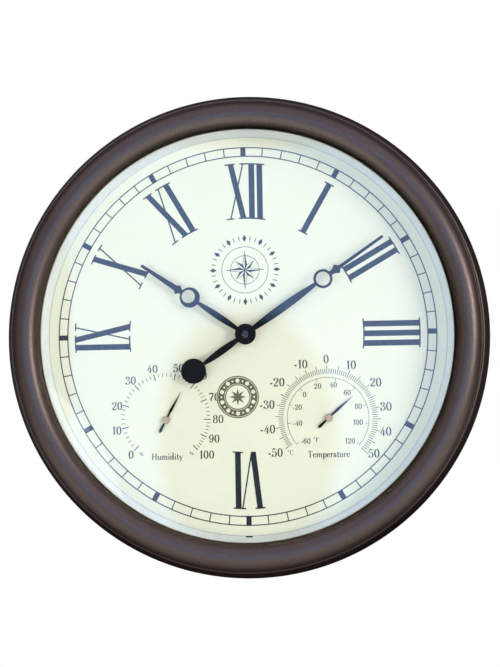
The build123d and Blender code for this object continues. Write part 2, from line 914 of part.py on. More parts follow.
def drive_coil():
    low, high = coil_low + bobbin_flange_thickness, coil_high - bobbin_flange_thickness
    return across_coil(Circle(coil_radius) - spool(), low, high)


def circuit_board():
    (left, low), (right, high) = board_corners
    return slab(block(left, right, low, high), *board_depths)


def quartz_crystal():
    middle = (board_corners[0][1] + board_corners[1][1]) / 2
    end = Pos(middle, board_depths[1] + crystal_radius) * Circle(crystal_radius)
    return extrude(Plane.YZ.offset(crystal_start_x) * end, crystal_length)


def clock_chip():
    middle = (board_corners[0][1] + board_corners[1][1]) / 2
    low = board_depths[1]
    chip = disc(chip_radius, low, low + chip_height, chip_x, middle)
    return fillet(chip.edges().sort_by(Axis.Z)[-1], chip_height / 2)


# Battery and contacts

def battery():
    end = cell_left + cell_length
    cell = extrude(Plane.YZ.offset(cell_left) * Pos(cell_y, cell_depth) * Circle(cell_radius), cell_length)
    cell = fillet(cell.edges().filter_by(GeomType.CIRCLE), cell_rounding)
    return cell + extrude(Plane.YZ.offset(end) * Pos(cell_y, cell_depth) * Circle(nub_radius), nub_length)


def upright_contact(profile):
    """A contact strip standing in the bay, its profile drawn in x and y."""
    low = cell_depth - contact_height / 2
    return slab(profile, low, low + contact_height)


def battery_contact_positive():
    wall = case_half - case_wall
    half = contact_width / 2
    return upright_contact(block(wall - contact_sheet, wall, cell_y - half, cell_y + half))


def battery_contact_negative():
    wall = case_wall - case_half
    half = contact_width / 2
    base = block(wall, wall + contact_sheet, cell_y - half, cell_y + half)
    reach = wall + spring_reach
    leaf = outline(
        (
            (wall, cell_y - half),
            (reach, cell_y),
            (wall, cell_y + half),
            (wall, cell_y + half - contact_sheet),
            (reach - contact_sheet, cell_y),
            (wall, cell_y - half + contact_sheet),
        )
    )
    return upright_contact(base + leaf)


# Hands

def lens(start, middle, end, halves):
    """A blade whose two sides are arcs through a start, a middle and an end half width."""
    edges = []
    for side in (-1, 1):
        points = [(side * half, y) for half, y in zip(halves, (start, middle, end))]
        edges.append(ThreePointArc(*points))
    edges.append(Line((-halves[0], start), (halves[0], start)))
    edges.append(Line((-halves[2], end), (halves[2], end)))
    return make_face(edges)


def dart(collar, tip, tip_half):
    """The collar in front of a hand's ring and the tapered stem beyond it, with a round end."""
    right = [(half, y) for y, half in collar] + [(tip_half, tip - tip_half)]
    left = [(-half, y) for half, y in reversed(right)]
    return outline(right + left) + Pos(0, tip - tip_half) * Circle(tip_half)


def hour_hand():
    ring_start = hour_ring_centre - hour_ring_radius
    blade = lens(blade_start, hour_blade_mid, ring_start + ring_overlap, hour_blade_halves)
    hand = Circle(hour_boss_radius) + blade
    hand += Pos(0, hour_ring_centre) * Circle(hour_ring_radius)
    hand += dart(hour_collar, hour_tip, hour_tip_half)
    hand -= Pos(0, hour_ring_centre + hour_ring_shift) * Circle(hour_ring_hole)
    hand -= Circle(pipe_radius)
    return clocked(slab(hand, hour_hand_low, hour_hand_low + hand_sheet), hour_angle)


def hour_hand_collet():
    return tube(collet_radius, pipe_radius, hour_collet_low, hour_hand_low)


def minute_hand():
    ring_start = minute_ring_centre - minute_ring_radius
    blade = lens(blade_start, minute_blade_mid, ring_start + ring_overlap, minute_blade_halves)
    hand = Circle(boss_radius) + blade
    hand += Pos(0, minute_ring_centre) * Circle(minute_ring_radius)
    hand += dart(minute_collar, minute_tip, minute_tip_half)
    hand -= Pos(0, minute_ring_centre) * Circle(minute_ring_hole)
    tail_end = tail_disc_centre - tail_disc_radius + ring_overlap
    hand += Rot(0, 0, 180) * lens(blade_start, tail_mid, tail_end, tail_halves)
    hand += Pos(0, -tail_disc_centre) * Circle(tail_disc_radius)
    hand -= Circle(arbor_radius)
    return clocked(slab(hand, minute_hand_low, minute_hand_low + hand_sheet), minute_angle)


def minute_hand_collet():
    return tube(collet_radius, arbor_radius, minute_collet_low, minute_hand_low)


def counterweight():
    weight = Pos(0, -tail_disc_centre) * Circle(weight_radius)
    return clocked(slab(weight, minute_hand_low - weight_thickness, minute_hand_low), minute_angle)


def cap_nut():
    low = minute_hand_low + hand_sheet
    cap = disc(cap_radius, low, low + cap_height)
    cap = fillet(cap.edges().sort_by(Axis.Z)[-1], cap_rounding)
    return cap - disc(arbor_radius, low - overrun, arbor_top)


# Gauges

def gauge_cup():
    cup = disc(cup_flange_radius, dial_back - cup_flange_thickness, dial_back)
    cup += disc(cup_radius, cup_rear, dial_back)
    cup -= disc(cup_radius - cup_wall, cup_rear + cup_wall, dial_back + overrun)
    for i in range(cup_vent_count):
        vent = polar(cup_vent_circle, i * 360 / cup_vent_count)
        cup -= disc(cup_vent_radius, cup_rear - overrun, cup_rear + cup_wall + overrun, *vent)
    floor = cup_rear + cup_wall
    cup += tube(spindle_boss, spindle_radius + running_gap, floor, floor + spindle_boss_height)
    post = block(coil_end(), cup_radius - cup_wall + overrun / 2, 0, coil_post_width)
    return cup + slab(post, floor, coil_depths[1])


def coil_end():
    """Where the coil's outer end comes to, on the x axis, at its strip's outer side."""
    return coil_inner + coil_turns * coil_pitch + coil_pitch / 4 + coil_strip / 2


def gauge_coil():
    """A flat spiral strip: half rings about two centres, each half turn half a pitch wider."""
    strip = Sketch()
    reach = coil_inner + coil_turns * coil_pitch + coil_pitch
    for half_turn in range(2 * coil_turns + 1):
        radius = coil_inner + half_turn * coil_pitch / 2
        side = 1 if half_turn % 2 == 0 else -1
        ring = Circle(radius + coil_strip / 2) - Circle(radius - coil_strip / 2)
        ring = ring & block(-reach, reach, *sorted((0, side * reach)))
        strip += Pos(side * coil_pitch / 4, 0) * ring
    return slab(strip, *coil_depths)


def gauge_spindle():
    bottom = cup_rear + cup_wall + spindle_end_gap
    top = spindle_collar_depths[1] + pointer_sheet + hub_cap_height / 2
    spindle = disc(spindle_radius, bottom, top) + disc(collar_radius, *spindle_collar_depths)
    return spindle + disc(coil_arbor_radius, *coil_depths)


def gauge_eyelet():
    eyelet = disc(eyelet_flange, dial_face, dial_face + eyelet_flange_height)
    eyelet += disc(eyelet_radius, dial_back, dial_face)
    return eyelet - disc(spindle_radius + running_gap, 0, glass_back)


def pointer(angle):
    front = list(zip(pointer_halves, pointer_reaches))
    back = [(half, -reach) for half, reach in zip(pointer_tail_halves, pointer_tail_reaches)]
    right = list(reversed(back)) + front
    blade = outline(right + [(-half, y) for half, y in reversed(right)]) + Circle(pointer_hub)
    low = spindle_collar_depths[1]
    return clocked(slab(blade - Circle(spindle_radius), low, low + pointer_sheet), angle)


def gauge_hub():
    low = spindle_collar_depths[1] + pointer_sheet
    cap = disc(hub_cap_radius, low, low + hub_cap_height)
    cap = fillet(cap.edges().sort_by(Axis.Z)[-1], hub_cap_rounding)
    return cap - disc(spindle_radius, low - overrun, low + hub_cap_height / 2)


parts = {
    "front_frame": front_frame(),
    "glass_gasket": glass_gasket(),
    "front_glass": front_glass(),
    "inner_ring": inner_ring(),
    "dial_plate": dial_plate(),
    "hour_numerals": hour_numerals(),
    "minute_track": minute_track(),
    "humidity_scale": humidity_scale(),
    "temperature_scale": temperature_scale(),
    "frame_brackets": frame_brackets(),
    "back_plate": back_plate(),
    "back_screws": back_screws(),
    "hanger_plate": hanger_plate(),
    "hanger_rivets": hanger_rivets(),
    "case_front": case_front(),
    "case_back": case_back(),
    "train_bridge": train_bridge(),
    "rubber_washer": rubber_washer(),
    "brass_washer": brass_washer(),
    "mounting_nut": mounting_nut(),
    "centre_arbor": centre_arbor(),
    "centre_wheel": centre_wheel(),
    "minute_wheel": minute_wheel(),
    "hour_wheel": hour_wheel(),
    "third_wheel": third_wheel(),
    "second_wheel": second_wheel(),
    "step_wheel": step_wheel(),
    "rotor": rotor(),
    "rotor_magnet": rotor_magnet(),
    "stator": stator(),
    "coil_bobbin": coil_bobbin(),
    "drive_coil": drive_coil(),
    "circuit_board": circuit_board(),
    "quartz_crystal": quartz_crystal(),
    "clock_chip": clock_chip(),
    "setting_knob": setting_knob(),
    "battery": battery(),
    "battery_contact_positive": battery_contact_positive(),
    "battery_contact_negative": battery_contact_negative(),
    "hour_hand": hour_hand(),
    "hour_hand_collet": hour_hand_collet(),
    "minute_hand": minute_hand(),
    "minute_hand_collet": minute_hand_collet(),
    "counterweight": counterweight(),
    "cap_nut": cap_nut(),
}
gauges = (
    ("hygrometer", humidity_pivot, humidity_angle),
    ("thermometer", temperature_pivot, temperature_angle),
)
for name, pivot, angle in gauges:
    place = Pos(*pivot)
    parts[name + "_cup"] = place * gauge_cup()
    parts[name + "_coil"] = place * gauge_coil()
    parts[name + "_spindle"] = place * gauge_spindle()
    parts[name + "_eyelet"] = place * gauge_eyelet()
    parts[name + "_pointer"] = place * pointer(angle)
    parts[name + "_hub"] = place * gauge_hub()

os.makedirs("parts", exist_ok=True)
upright = Pos(0, 0, -hanger_height) * Rot(90, 0, 0)
for name, shape in parts.items():
    solids = shape if isinstance(shape, list) else [shape]
    solids = [solid for piece in solids for solid in piece.solids()]
    moved = [upright * solid for solid in solids]
    export_step(moved[0] if len(moved) == 1 else Compound(moved), f"parts/{name}.step")
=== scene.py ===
import json
import math

import bmesh
import bpy
from mathutils import Matrix, Vector, geometry


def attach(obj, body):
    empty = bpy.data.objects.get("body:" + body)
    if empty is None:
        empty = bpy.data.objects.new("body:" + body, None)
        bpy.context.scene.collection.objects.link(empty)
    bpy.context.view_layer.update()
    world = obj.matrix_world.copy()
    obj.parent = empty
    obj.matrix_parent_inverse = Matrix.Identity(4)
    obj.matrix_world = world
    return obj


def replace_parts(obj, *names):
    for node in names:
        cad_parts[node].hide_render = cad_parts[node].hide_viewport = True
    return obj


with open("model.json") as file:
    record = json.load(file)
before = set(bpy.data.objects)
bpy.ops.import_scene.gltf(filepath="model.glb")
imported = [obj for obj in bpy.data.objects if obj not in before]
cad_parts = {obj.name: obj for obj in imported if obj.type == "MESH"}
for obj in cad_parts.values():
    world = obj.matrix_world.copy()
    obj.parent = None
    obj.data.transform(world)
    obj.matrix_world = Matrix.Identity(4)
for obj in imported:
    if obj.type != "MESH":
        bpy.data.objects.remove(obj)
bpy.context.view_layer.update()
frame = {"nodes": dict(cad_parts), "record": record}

millimetre = 0.001
tau = 2 * math.pi

# Places repeated from the part's source, in millimetres: x right and y up from the hands' axis,
# d out from the wall
hanger_height = 138.0
dial_face = 24.0
glass_back = 37.5
ink = 0.1


def spot(x, y, d):
    """That place in the shared frame, in metres."""
    return Vector((x, -d, y - hanger_height)) * millimetre


# Meshes

merge_distance = 1e-7
sharp_angle = math.radians(28)


def add_mesh(name, verts, faces, material, body="case", smooth=False):
    """A piece with one material that rides on a body."""
    mesh = bpy.data.meshes.new(name)
    mesh.from_pydata([tuple(v) for v in verts], [], faces)
    shape = bmesh.new()
    shape.from_mesh(mesh)
    bmesh.ops.remove_doubles(shape, verts=shape.verts, dist=merge_distance)
    loose = [edge for edge in shape.edges if not edge.link_faces]
    bmesh.ops.delete(shape, geom=loose, context="EDGES")
    bmesh.ops.recalc_face_normals(shape, faces=shape.faces)
    shape.to_mesh(mesh)
    shape.free()
    if smooth:
        mesh.polygons.foreach_set("use_smooth", [True] * len(mesh.polygons))
        mesh.set_sharp_from_angle(angle=sharp_angle)
    mesh.materials.append(material)
    piece = bpy.data.objects.new(name, mesh)
    bpy.context.scene.collection.objects.link(piece)
    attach(piece, body)
    return piece


def arc(cx, cy, radius, start, end, count):
    """Points of an arc in count steps, from start to end in degrees from x towards y."""
    steps = [math.radians(start + (end - start) * i / count) for i in range(count + 1)]
    return [(cx + radius * math.cos(a), cy + radius * math.sin(a)) for a in steps]


def circle(cx, cy, radius, count):
    """Points all the way round, with the first one not repeated."""
    return arc(cx, cy, radius, 0, 360 - 360 / count, count - 1)


def rounded(before, corner, after, radius, count=8):
    """The points of a rounded corner between two straight runs."""
    before, corner, after = Vector(before), Vector(corner), Vector(after)
    first, last = (before - corner).normalized(), (after - corner).normalized()
    half = first.angle(last) / 2
    centre = corner + (first + last).normalized() * (radius / math.sin(half))
    start = corner + first * (radius / math.tan(half)) - centre
    end = corner + last * (radius / math.tan(half)) - centre
    spread = start.angle_signed(end)
    points = []
    for i in range(count + 1):
        turned = Matrix.Rotation(-spread * i / count, 2) @ start
        points.append(tuple(centre + turned))
    return points


def stations(section, notch=None, first=0.0, last=0.0, segments=360):
    """A section of (radius, depth) at each clock angle, with another one from first to last."""
    plain = [(360 * i / segments, section) for i in range(segments)]
    if notch is None:
        return plain
    middle = [(first, section), (first, notch), ((first + last) / 2, notch), (last, notch),
              (last, section)]
    before = [s for s in plain if s[0] < first]
    return before + middle + [s for s in plain if s[0] > last]


def revolved(name, rings, material, body="case"):
    """A closed ring about the hands' axis through the sections given."""
    verts, faces = [], []
    count = len(rings[0][1])
    for angle, section in rings:
        turn = math.radians(angle)
        verts += [spot(r * math.sin(turn), r * math.cos(turn), d) for r, d in section]
    for i in range(len(rings)):
        j = (i + 1) % len(rings)
        for k in range(count):
            m = (k + 1) % count
            faces.append((i * count + k, i * count + m, j * count + m, j * count + k))
    return add_mesh(name, verts, faces, material, body=body, smooth=True)


# Printing

class Print:
    """Flat shapes a tenth of a millimetre high, drawn as outlines and strokes."""

    def __init__(self, low=dial_face, high=dial_face + ink):
        self.verts, self.faces = [], []
        self.low, self.high = low, high

    def outline(self, points):
        """A filled shape."""
        base, count = len(self.verts), len(points)
        for d in (self.high, self.low):
            self.verts += [spot(x, y, d) for x, y in points]
        self.faces.append(tuple(range(base, base + count)))
        self.faces.append(tuple(range(base + 2 * count - 1, base + count - 1, -1)))
        for i in range(count):
            j = (i + 1) % count
            self.faces.append((base + i, base + j, base + count + j, base + count + i))

    def stroke(self, points, halves, closed=False):
        """A line through points, as wide as halves says for each of its directions."""
        base, count = len(self.verts), len(points)
        for i, (x, y) in enumerate(points):
            before = points[i - 1] if closed or i else points[i]
            after = points[(i + 1) % count] if closed or i < count - 1 else points[i]
            way = Vector((after[0] - before[0], after[1] - before[1])).normalized()
            half = halves(way)
            left = (x - way.y * half, y + way.x * half)
            right = (x + way.y * half, y - way.x * half)
            self.verts += [spot(*left, self.high), spot(*right, self.high),
                           spot(*right, self.low), spot(*left, self.low)]
        for i in range(count if closed else count - 1):
            near, far = base + 4 * i, base + 4 * ((i + 1) % count)
            for k in range(4):
                m = (k + 1) % 4
                self.faces.append((near + k, near + m, far + m, far + k))
        if not closed:
            self.faces.append((base, base + 1, base + 2, base + 3))
            end = base + 4 * (count - 1)
            self.faces.append((end + 3, end + 2, end + 1, end))

    def line(self, start, end, width):
        self.stroke([start, end], lambda way: width / 2)

    def dot(self, x, y, radius, count=18):
        self.outline(circle(x, y, radius, count))

    def ring(self, x, y, radius, width, count=120):
        self.stroke(circle(x, y, radius, count), lambda way: width / 2, closed=True)

    def piece(self, name, finish, slot="ink", body="case"):
        return add_mesh(name, self.verts, self.faces, finishes[finish], body=body)


def smooth_path(points, steps=6):
    """A smooth curve through the points, in that many steps between each two."""
    padded = [points[0]] + list(points) + [points[-1]]
    path = []
    for a, b, c, d in zip(padded, padded[1:], padded[2:], padded[3:]):
        for i in range(steps):
            t = i / steps
            path.append(tuple(
                b[k] + (c[k] - a[k]) * t / 2
                + (a[k] - 2.5 * b[k] + 2 * c[k] - d[k] / 2) * t * t
                + (1.5 * b[k] - a[k] / 2 - 1.5 * c[k] + d[k] / 2) * t ** 3
                for k in range(2)))
    return path + [points[-1]]


# Letters and digits on a unit of their own height, each with its advance and its pen strokes,
# ovals (x, y, half width, half height), bars (x, y, x, y, width) and dots (x, y, radius)
glyphs = {
    "0": (0.70, {"ovals": [(0.33, 0.5, 0.23, 0.485)]}),
    "1": (0.52, {
        "bars": [(0.27, 0.0, 0.27, 1.0, 0.16), (0.12, 0.02, 0.42, 0.02, 0.04)],
        "pens": [((0.10, 0.84), (0.18, 0.88), (0.26, 0.98))]}),
    "2": (0.68, {
        "dots": [(0.15, 0.74, 0.085)],
        "pens": [
            ((0.08, 0.76), (0.14, 0.92), (0.31, 0.985), (0.50, 0.88), (0.51, 0.70), (0.38, 0.45),
             (0.16, 0.18), (0.07, 0.05))],
        "bars": [(0.07, 0.06, 0.54, 0.06, 0.13), (0.53, 0.06, 0.57, 0.24, 0.05)]}),
    "3": (0.68, {
        "dots": [(0.15, 0.76, 0.085), (0.13, 0.21, 0.09)],
        "pens": [
            ((0.08, 0.78), (0.14, 0.93), (0.30, 0.985), (0.46, 0.87), (0.46, 0.70), (0.26, 0.54)),
            ((0.26, 0.54), (0.51, 0.43), (0.54, 0.22), (0.40, 0.05), (0.25, 0.015), (0.10, 0.07),
             (0.06, 0.2))]}),
    "4": (0.68, {
        "bars": [
            (0.45, 1.0, 0.05, 0.29, 0.085), (0.03, 0.28, 0.60, 0.28, 0.045),
            (0.42, 0.0, 0.42, 0.66, 0.15), (0.28, 0.02, 0.56, 0.02, 0.04)]}),
    "5": (0.68, {
        "dots": [(0.13, 0.20, 0.09)],
        "pens": [
            ((0.11, 0.54), (0.30, 0.63), (0.50, 0.50), (0.53, 0.26), (0.42, 0.06), (0.25, 0.015),
             (0.10, 0.07), (0.06, 0.18))],
        "bars": [(0.14, 0.93, 0.50, 0.93, 0.13), (0.13, 0.95, 0.11, 0.54, 0.04)]}),
    "6": (0.69, {
        "dots": [(0.49, 0.80, 0.08)],
        "pens": [
            ((0.52, 0.85), (0.38, 0.985), (0.20, 0.82), (0.11, 0.55), (0.12, 0.25), (0.20, 0.06),
             (0.31, 0.015), (0.47, 0.08), (0.54, 0.30), (0.48, 0.53), (0.33, 0.60), (0.20, 0.52),
             (0.14, 0.40))]}),
    "7": (0.66, {
        "pens": [((0.56, 0.92), (0.40, 0.55), (0.30, 0.28), (0.27, 0.0))],
        "bars": [(0.06, 0.93, 0.57, 0.93, 0.13), (0.07, 0.95, 0.04, 0.76, 0.05)]}),
    "8": (0.69, {"ovals": [(0.32, 0.755, 0.185, 0.23), (0.32, 0.275, 0.225, 0.265)]}),
    "9": (0.69, {
        "dots": [(0.15, 0.20, 0.08)],
        "pens": [
            ((0.12, 0.15), (0.26, 0.015), (0.44, 0.18), (0.53, 0.45), (0.52, 0.75), (0.44, 0.94),
             (0.33, 0.985), (0.17, 0.92), (0.10, 0.70), (0.16, 0.47), (0.31, 0.40), (0.44, 0.48),
             (0.50, 0.60))]}),
    "-": (0.40, {"bars": [(0.02, 0.34, 0.29, 0.34, 0.15)]}),
    "H": (0.92, {
        "bars": [
            (0.20, 0, 0.20, 1, 0.12), (0.72, 0, 0.72, 1, 0.12), (0.20, 0.51, 0.72, 0.51, 0.05),
            (0.08, 0.02, 0.32, 0.02, 0.04), (0.60, 0.02, 0.84, 0.02, 0.04),
            (0.08, 0.98, 0.32, 0.98, 0.04), (0.60, 0.98, 0.84, 0.98, 0.04)]}),
    "T": (0.84, {
        "bars": [
            (0.42, 0, 0.42, 1, 0.13), (0.05, 0.975, 0.79, 0.975, 0.05),
            (0.06, 0.97, 0.04, 0.78, 0.04), (0.78, 0.97, 0.80, 0.78, 0.04),
            (0.28, 0.02, 0.56, 0.02, 0.04)]}),
    "C": (0.80, {
        "pens": [
            ((0.68, 0.80), (0.56, 0.95), (0.38, 0.985), (0.16, 0.85), (0.08, 0.5), (0.16, 0.15),
             (0.38, 0.015), (0.58, 0.06), (0.70, 0.22))],
        "bars": [(0.68, 0.72, 0.68, 0.98, 0.05)]}),
    "F": (0.70, {
        "bars": [
            (0.18, 0, 0.18, 1, 0.14), (0.18, 0.97, 0.64, 0.97, 0.06),
            (0.63, 0.97, 0.65, 0.76, 0.05), (0.18, 0.52, 0.50, 0.52, 0.05),
            (0.06, 0.02, 0.32, 0.02, 0.04)]}),
    "u": (0.66, {
        "bars": [
            (0.14, 0.14, 0.14, 0.60, 0.11), (0.48, 0.02, 0.48, 0.60, 0.11),
            (0.03, 0.59, 0.16, 0.59, 0.04), (0.38, 0.59, 0.50, 0.59, 0.04),
            (0.48, 0.03, 0.60, 0.03, 0.04)],
        "pens": [((0.14, 0.20), (0.17, 0.06), (0.28, 0.015), (0.40, 0.07), (0.47, 0.16))]}),
    "m": (1.00, {
        "bars": [
            (0.15, 0, 0.15, 0.60, 0.11), (0.48, 0, 0.48, 0.46, 0.11), (0.81, 0, 0.81, 0.46, 0.11),
            (0.04, 0.59, 0.16, 0.59, 0.04), (0.05, 0.02, 0.26, 0.02, 0.04),
            (0.38, 0.02, 0.59, 0.02, 0.04), (0.71, 0.02, 0.92, 0.02, 0.04)],
        "pens": [
            ((0.16, 0.46), (0.24, 0.57), (0.35, 0.60), (0.46, 0.54), (0.48, 0.40)),
            ((0.49, 0.46), (0.57, 0.57), (0.68, 0.60), (0.79, 0.54), (0.81, 0.40))]}),
    "i": (0.34, {
        "bars": [
            (0.17, 0, 0.17, 0.60, 0.11), (0.06, 0.59, 0.18, 0.59, 0.04),
            (0.06, 0.02, 0.28, 0.02, 0.04)],
        "dots": [(0.16, 0.86, 0.08)]}),
    "d": (0.66, {
        "bars": [
            (0.49, 0.02, 0.49, 1.12, 0.11), (0.38, 1.11, 0.50, 1.11, 0.04),
            (0.49, 0.03, 0.60, 0.03, 0.04)],
        "ovals": [(0.27, 0.31, 0.18, 0.295)]}),
    "t": (0.42, {
        "bars": [(0.18, 0.12, 0.18, 0.82, 0.11), (0.04, 0.59, 0.36, 0.59, 0.05)],
        "pens": [((0.18, 0.16), (0.22, 0.03), (0.30, 0.02), (0.38, 0.10))]}),
    "y": (0.60, {
        "bars": [
            (0.09, 0.60, 0.31, 0.04, 0.11), (0.50, 0.60, 0.24, -0.20, 0.045),
            (0.01, 0.59, 0.20, 0.59, 0.04), (0.41, 0.59, 0.58, 0.59, 0.04)],
        "dots": [(0.17, -0.22, 0.08)]}),
    "e": (0.56, {
        "bars": [(0.09, 0.35, 0.47, 0.35, 0.045)],
        "pens": [
            ((0.46, 0.36), (0.42, 0.53), (0.29, 0.605), (0.14, 0.52), (0.08, 0.31), (0.14, 0.09),
             (0.29, 0.015), (0.42, 0.06), (0.48, 0.15))]}),
    "p": (0.66, {
        "bars": [
            (0.16, -0.34, 0.16, 0.60, 0.11), (0.05, 0.59, 0.17, 0.59, 0.04),
            (0.06, -0.33, 0.27, -0.33, 0.04)],
        "ovals": [(0.38, 0.31, 0.18, 0.295)]}),
    "r": (0.46, {
        "bars": [
            (0.15, 0, 0.15, 0.60, 0.11), (0.04, 0.59, 0.16, 0.59, 0.04),
            (0.05, 0.02, 0.27, 0.02, 0.04)],
        "pens": [((0.16, 0.42), (0.24, 0.56), (0.36, 0.60))],
        "dots": [(0.37, 0.54, 0.07)]}),
    "a": (0.58, {
        "bars": [(0.41, 0.10, 0.41, 0.44, 0.11)],
        "dots": [(0.14, 0.46, 0.07)],
        "pens": [
            ((0.12, 0.50), (0.20, 0.59), (0.32, 0.59), (0.40, 0.52), (0.41, 0.40)),
            ((0.41, 0.37), (0.22, 0.32), (0.10, 0.20), (0.13, 0.05), (0.25, 0.02), (0.41, 0.16)),
            ((0.41, 0.12), (0.45, 0.02), (0.54, 0.06))]}),
}

# The width of a pen stroke where it runs upright and where it lies level, and how fast it swells
digit_pen = (0.155, 0.035)
letter_pen = (0.14, 0.055)
swell = 1.6
oval_points = 36


def write(page, text, x, y, height, width=None, pen=digit_pen, weight=1.0):
    """Words or a number centred on x, y, in the width given if any, and bars of that weight."""
    total = sum(glyphs[letter][0] for letter in text)
    across = width / total if width else height
    left = x - total * across / 2
    low = y - height / 2
    thick, thin = pen

    def halves(way):
        return height * (thin + (thick - thin) * abs(way.y) ** swell) / 2

    for letter in text:
        advance, strokes = glyphs[letter]

        def place(px, py):
            return (left + px * across, low + py * height)

        for cx, cy, rx, ry in strokes.get("ovals", ()):
            turns = [tau * i / oval_points for i in range(oval_points)]
            oval = [place(cx + rx * math.cos(a), cy + ry * math.sin(a)) for a in turns]
            page.stroke(oval, halves, closed=True)
        for points in strokes.get("pens", ()):
            page.stroke([place(*p) for p in smooth_path(points)], halves)
        for x1, y1, x2, y2, line in strokes.get("bars", ()):
            page.line(place(x1, y1), place(x2, y2), line * height * weight)
        for px, py, radius in strokes.get("dots", ()):
            page.dot(*place(px, py), radius * height)
        left += advance * across


# Materials

# How high a relief is, and the scale of the wear where none is given, as a share of the colour's
relief_height = 0.2 * millimetre
wear_scale = 0.37


def linear(colour):
    """The sRGB curve undone."""
    return [c / 12.92 if c <= 0.04045 else ((c + 0.055) / 1.055) ** 2.4 for c in colour]


def srgb(r, g, b):
    return (*linear((r / 255, g / 255, b / 255)), 1.0)


def new_material(name):
    material = bpy.data.materials.new(name)
    material.use_nodes = True
    tree = material.node_tree
    tree.nodes.clear()
    out = tree.nodes.new("ShaderNodeOutputMaterial")
    return material, tree, out


def object_place(tree):
    return tree.nodes.new("ShaderNodeTexCoord").outputs["Object"]


def moved(tree, vector, location=(0, 0, 0), scale=(1, 1, 1)):
    """Vector nodes: a vector times scale, plus location."""
    node = tree.nodes.new("ShaderNodeMapping")
    node.inputs["Location"].default_value = location
    node.inputs["Scale"].default_value = scale
    tree.links.new(vector, node.inputs["Vector"])
    return node.outputs["Vector"]


def length(tree, vector):
    node = tree.nodes.new("ShaderNodeVectorMath")
    node.operation = "LENGTH"
    tree.links.new(vector, node.inputs[0])
    return node.outputs["Value"]


def axes(tree, vector):
    """The x, y and z of a vector."""
    node = tree.nodes.new("ShaderNodeSeparateXYZ")
    tree.links.new(vector, node.inputs["Vector"])
    return node.outputs["X"], node.outputs["Y"], node.outputs["Z"]


def combined(tree, operation, first, second):
    node = tree.nodes.new("ShaderNodeMath")
    node.operation = operation
    tree.links.new(first, node.inputs[0])
    tree.links.new(second, node.inputs[1])
    return node.outputs["Value"]


def noise(tree, scale, stretch=None):
    source = object_place(tree)
    if stretch:
        source = moved(tree, source, scale=stretch)
    node = tree.nodes.new("ShaderNodeTexNoise")
    node.inputs["Scale"].default_value = scale
    node.inputs["Detail"].default_value = 3.0
    node.inputs["Roughness"].default_value = 0.55
    tree.links.new(source, node.inputs["Vector"])
    return node.outputs["Fac"]


def mapped(tree, value, low, high, source_low=0.3, source_high=0.7):
    """The value, from its source range to low and high. The range given is that of noise."""
    node = tree.nodes.new("ShaderNodeMapRange")
    node.inputs["From Min"].default_value = source_low
    node.inputs["From Max"].default_value = source_high
    node.inputs["To Min"].default_value = low
    node.inputs["To Max"].default_value = high
    tree.links.new(value, node.inputs["Value"])
    return node.outputs["Result"]


def mixed(tree, factor, first, second):
    """Colour nodes: a mix of two colours, each a colour or another node's output."""
    node = tree.nodes.new("ShaderNodeMix")
    node.data_type = "RGBA"
    tree.links.new(factor, node.inputs["Factor"])
    for key, value in (("A", first), ("B", second)):
        socket = [s for s in node.inputs if s.name == key and s.type == "RGBA"][0]
        if isinstance(value, tuple):
            socket.default_value = value
        else:
            tree.links.new(value, socket)
    return [s for s in node.outputs if s.type == "RGBA"][0]


def mixed_shader(tree, factor, first, second):
    """Shader nodes: the first where factor is 0, the second where it is 1."""
    node = tree.nodes.new("ShaderNodeMixShader")
    tree.links.new(factor, node.inputs["Fac"])
    tree.links.new(first, node.inputs[1])
    tree.links.new(second, node.inputs[2])
    return node.outputs["Shader"]


def painted(name, dark, light, scale, rough, metallic=0.0, grain=None, bump=0.0, bump_scale=None,
            stretch=None, specular=0.5, broad=None):
    """A finish whose colour, roughness and relief all vary a little over the surface. broad is
    the scale, colour and share of a wider patchiness."""
    material, tree, out = new_material(name)
    shader = tree.nodes.new("ShaderNodeBsdfPrincipled")
    tint = mapped(tree, noise(tree, scale, stretch), 0, 1)
    colour = mixed(tree, tint, srgb(*dark), srgb(*light))
    if broad:
        wide_scale, patch, share = broad
        tint = mapped(tree, noise(tree, wide_scale), 0, share)
        colour = mixed(tree, tint, colour, srgb(*patch))
    tree.links.new(colour, shader.inputs["Base Color"])
    wear = noise(tree, grain or scale * wear_scale, stretch)
    tree.links.new(mapped(tree, wear, *rough), shader.inputs["Roughness"])
    shader.inputs["Metallic"].default_value = metallic
    shader.inputs["Specular IOR Level"].default_value = specular
    if bump:
        relief = tree.nodes.new("ShaderNodeBump")
        relief.inputs["Strength"].default_value = bump
        relief.inputs["Distance"].default_value = relief_height
        tree.links.new(noise(tree, bump_scale or scale, stretch), relief.inputs["Height"])
        tree.links.new(relief.outputs["Normal"], shader.inputs["Normal"])
    tree.links.new(shader.outputs["BSDF"], out.inputs["Surface"])
    return material


def glass_material():
    """Clear glass that lets lamp light through, with a trace of film on it."""
    material, tree, out = new_material("clear_glass")
    shader = tree.nodes.new("ShaderNodeBsdfPrincipled")
    shader.inputs["Transmission Weight"].default_value = 1.0
    shader.inputs["IOR"].default_value = 1.6
    tint = mapped(tree, noise(tree, 9.0), 0, 1)
    tree.links.new(mixed(tree, tint, (0.985, 0.995, 0.99, 1), (1.0, 1.0, 1.0, 1)),
                   shader.inputs["Base Color"])
    film = mapped(tree, noise(tree, 60.0), 0.0, 0.02)
    tree.links.new(film, shader.inputs["Roughness"])
    clear = tree.nodes.new("ShaderNodeBsdfTransparent")
    path = tree.nodes.new("ShaderNodeLightPath")
    both = mixed_shader(tree, path.outputs["Is Shadow Ray"], shader.outputs["BSDF"],
                        clear.outputs["BSDF"])
    tree.links.new(both, out.inputs["Surface"])
    return material


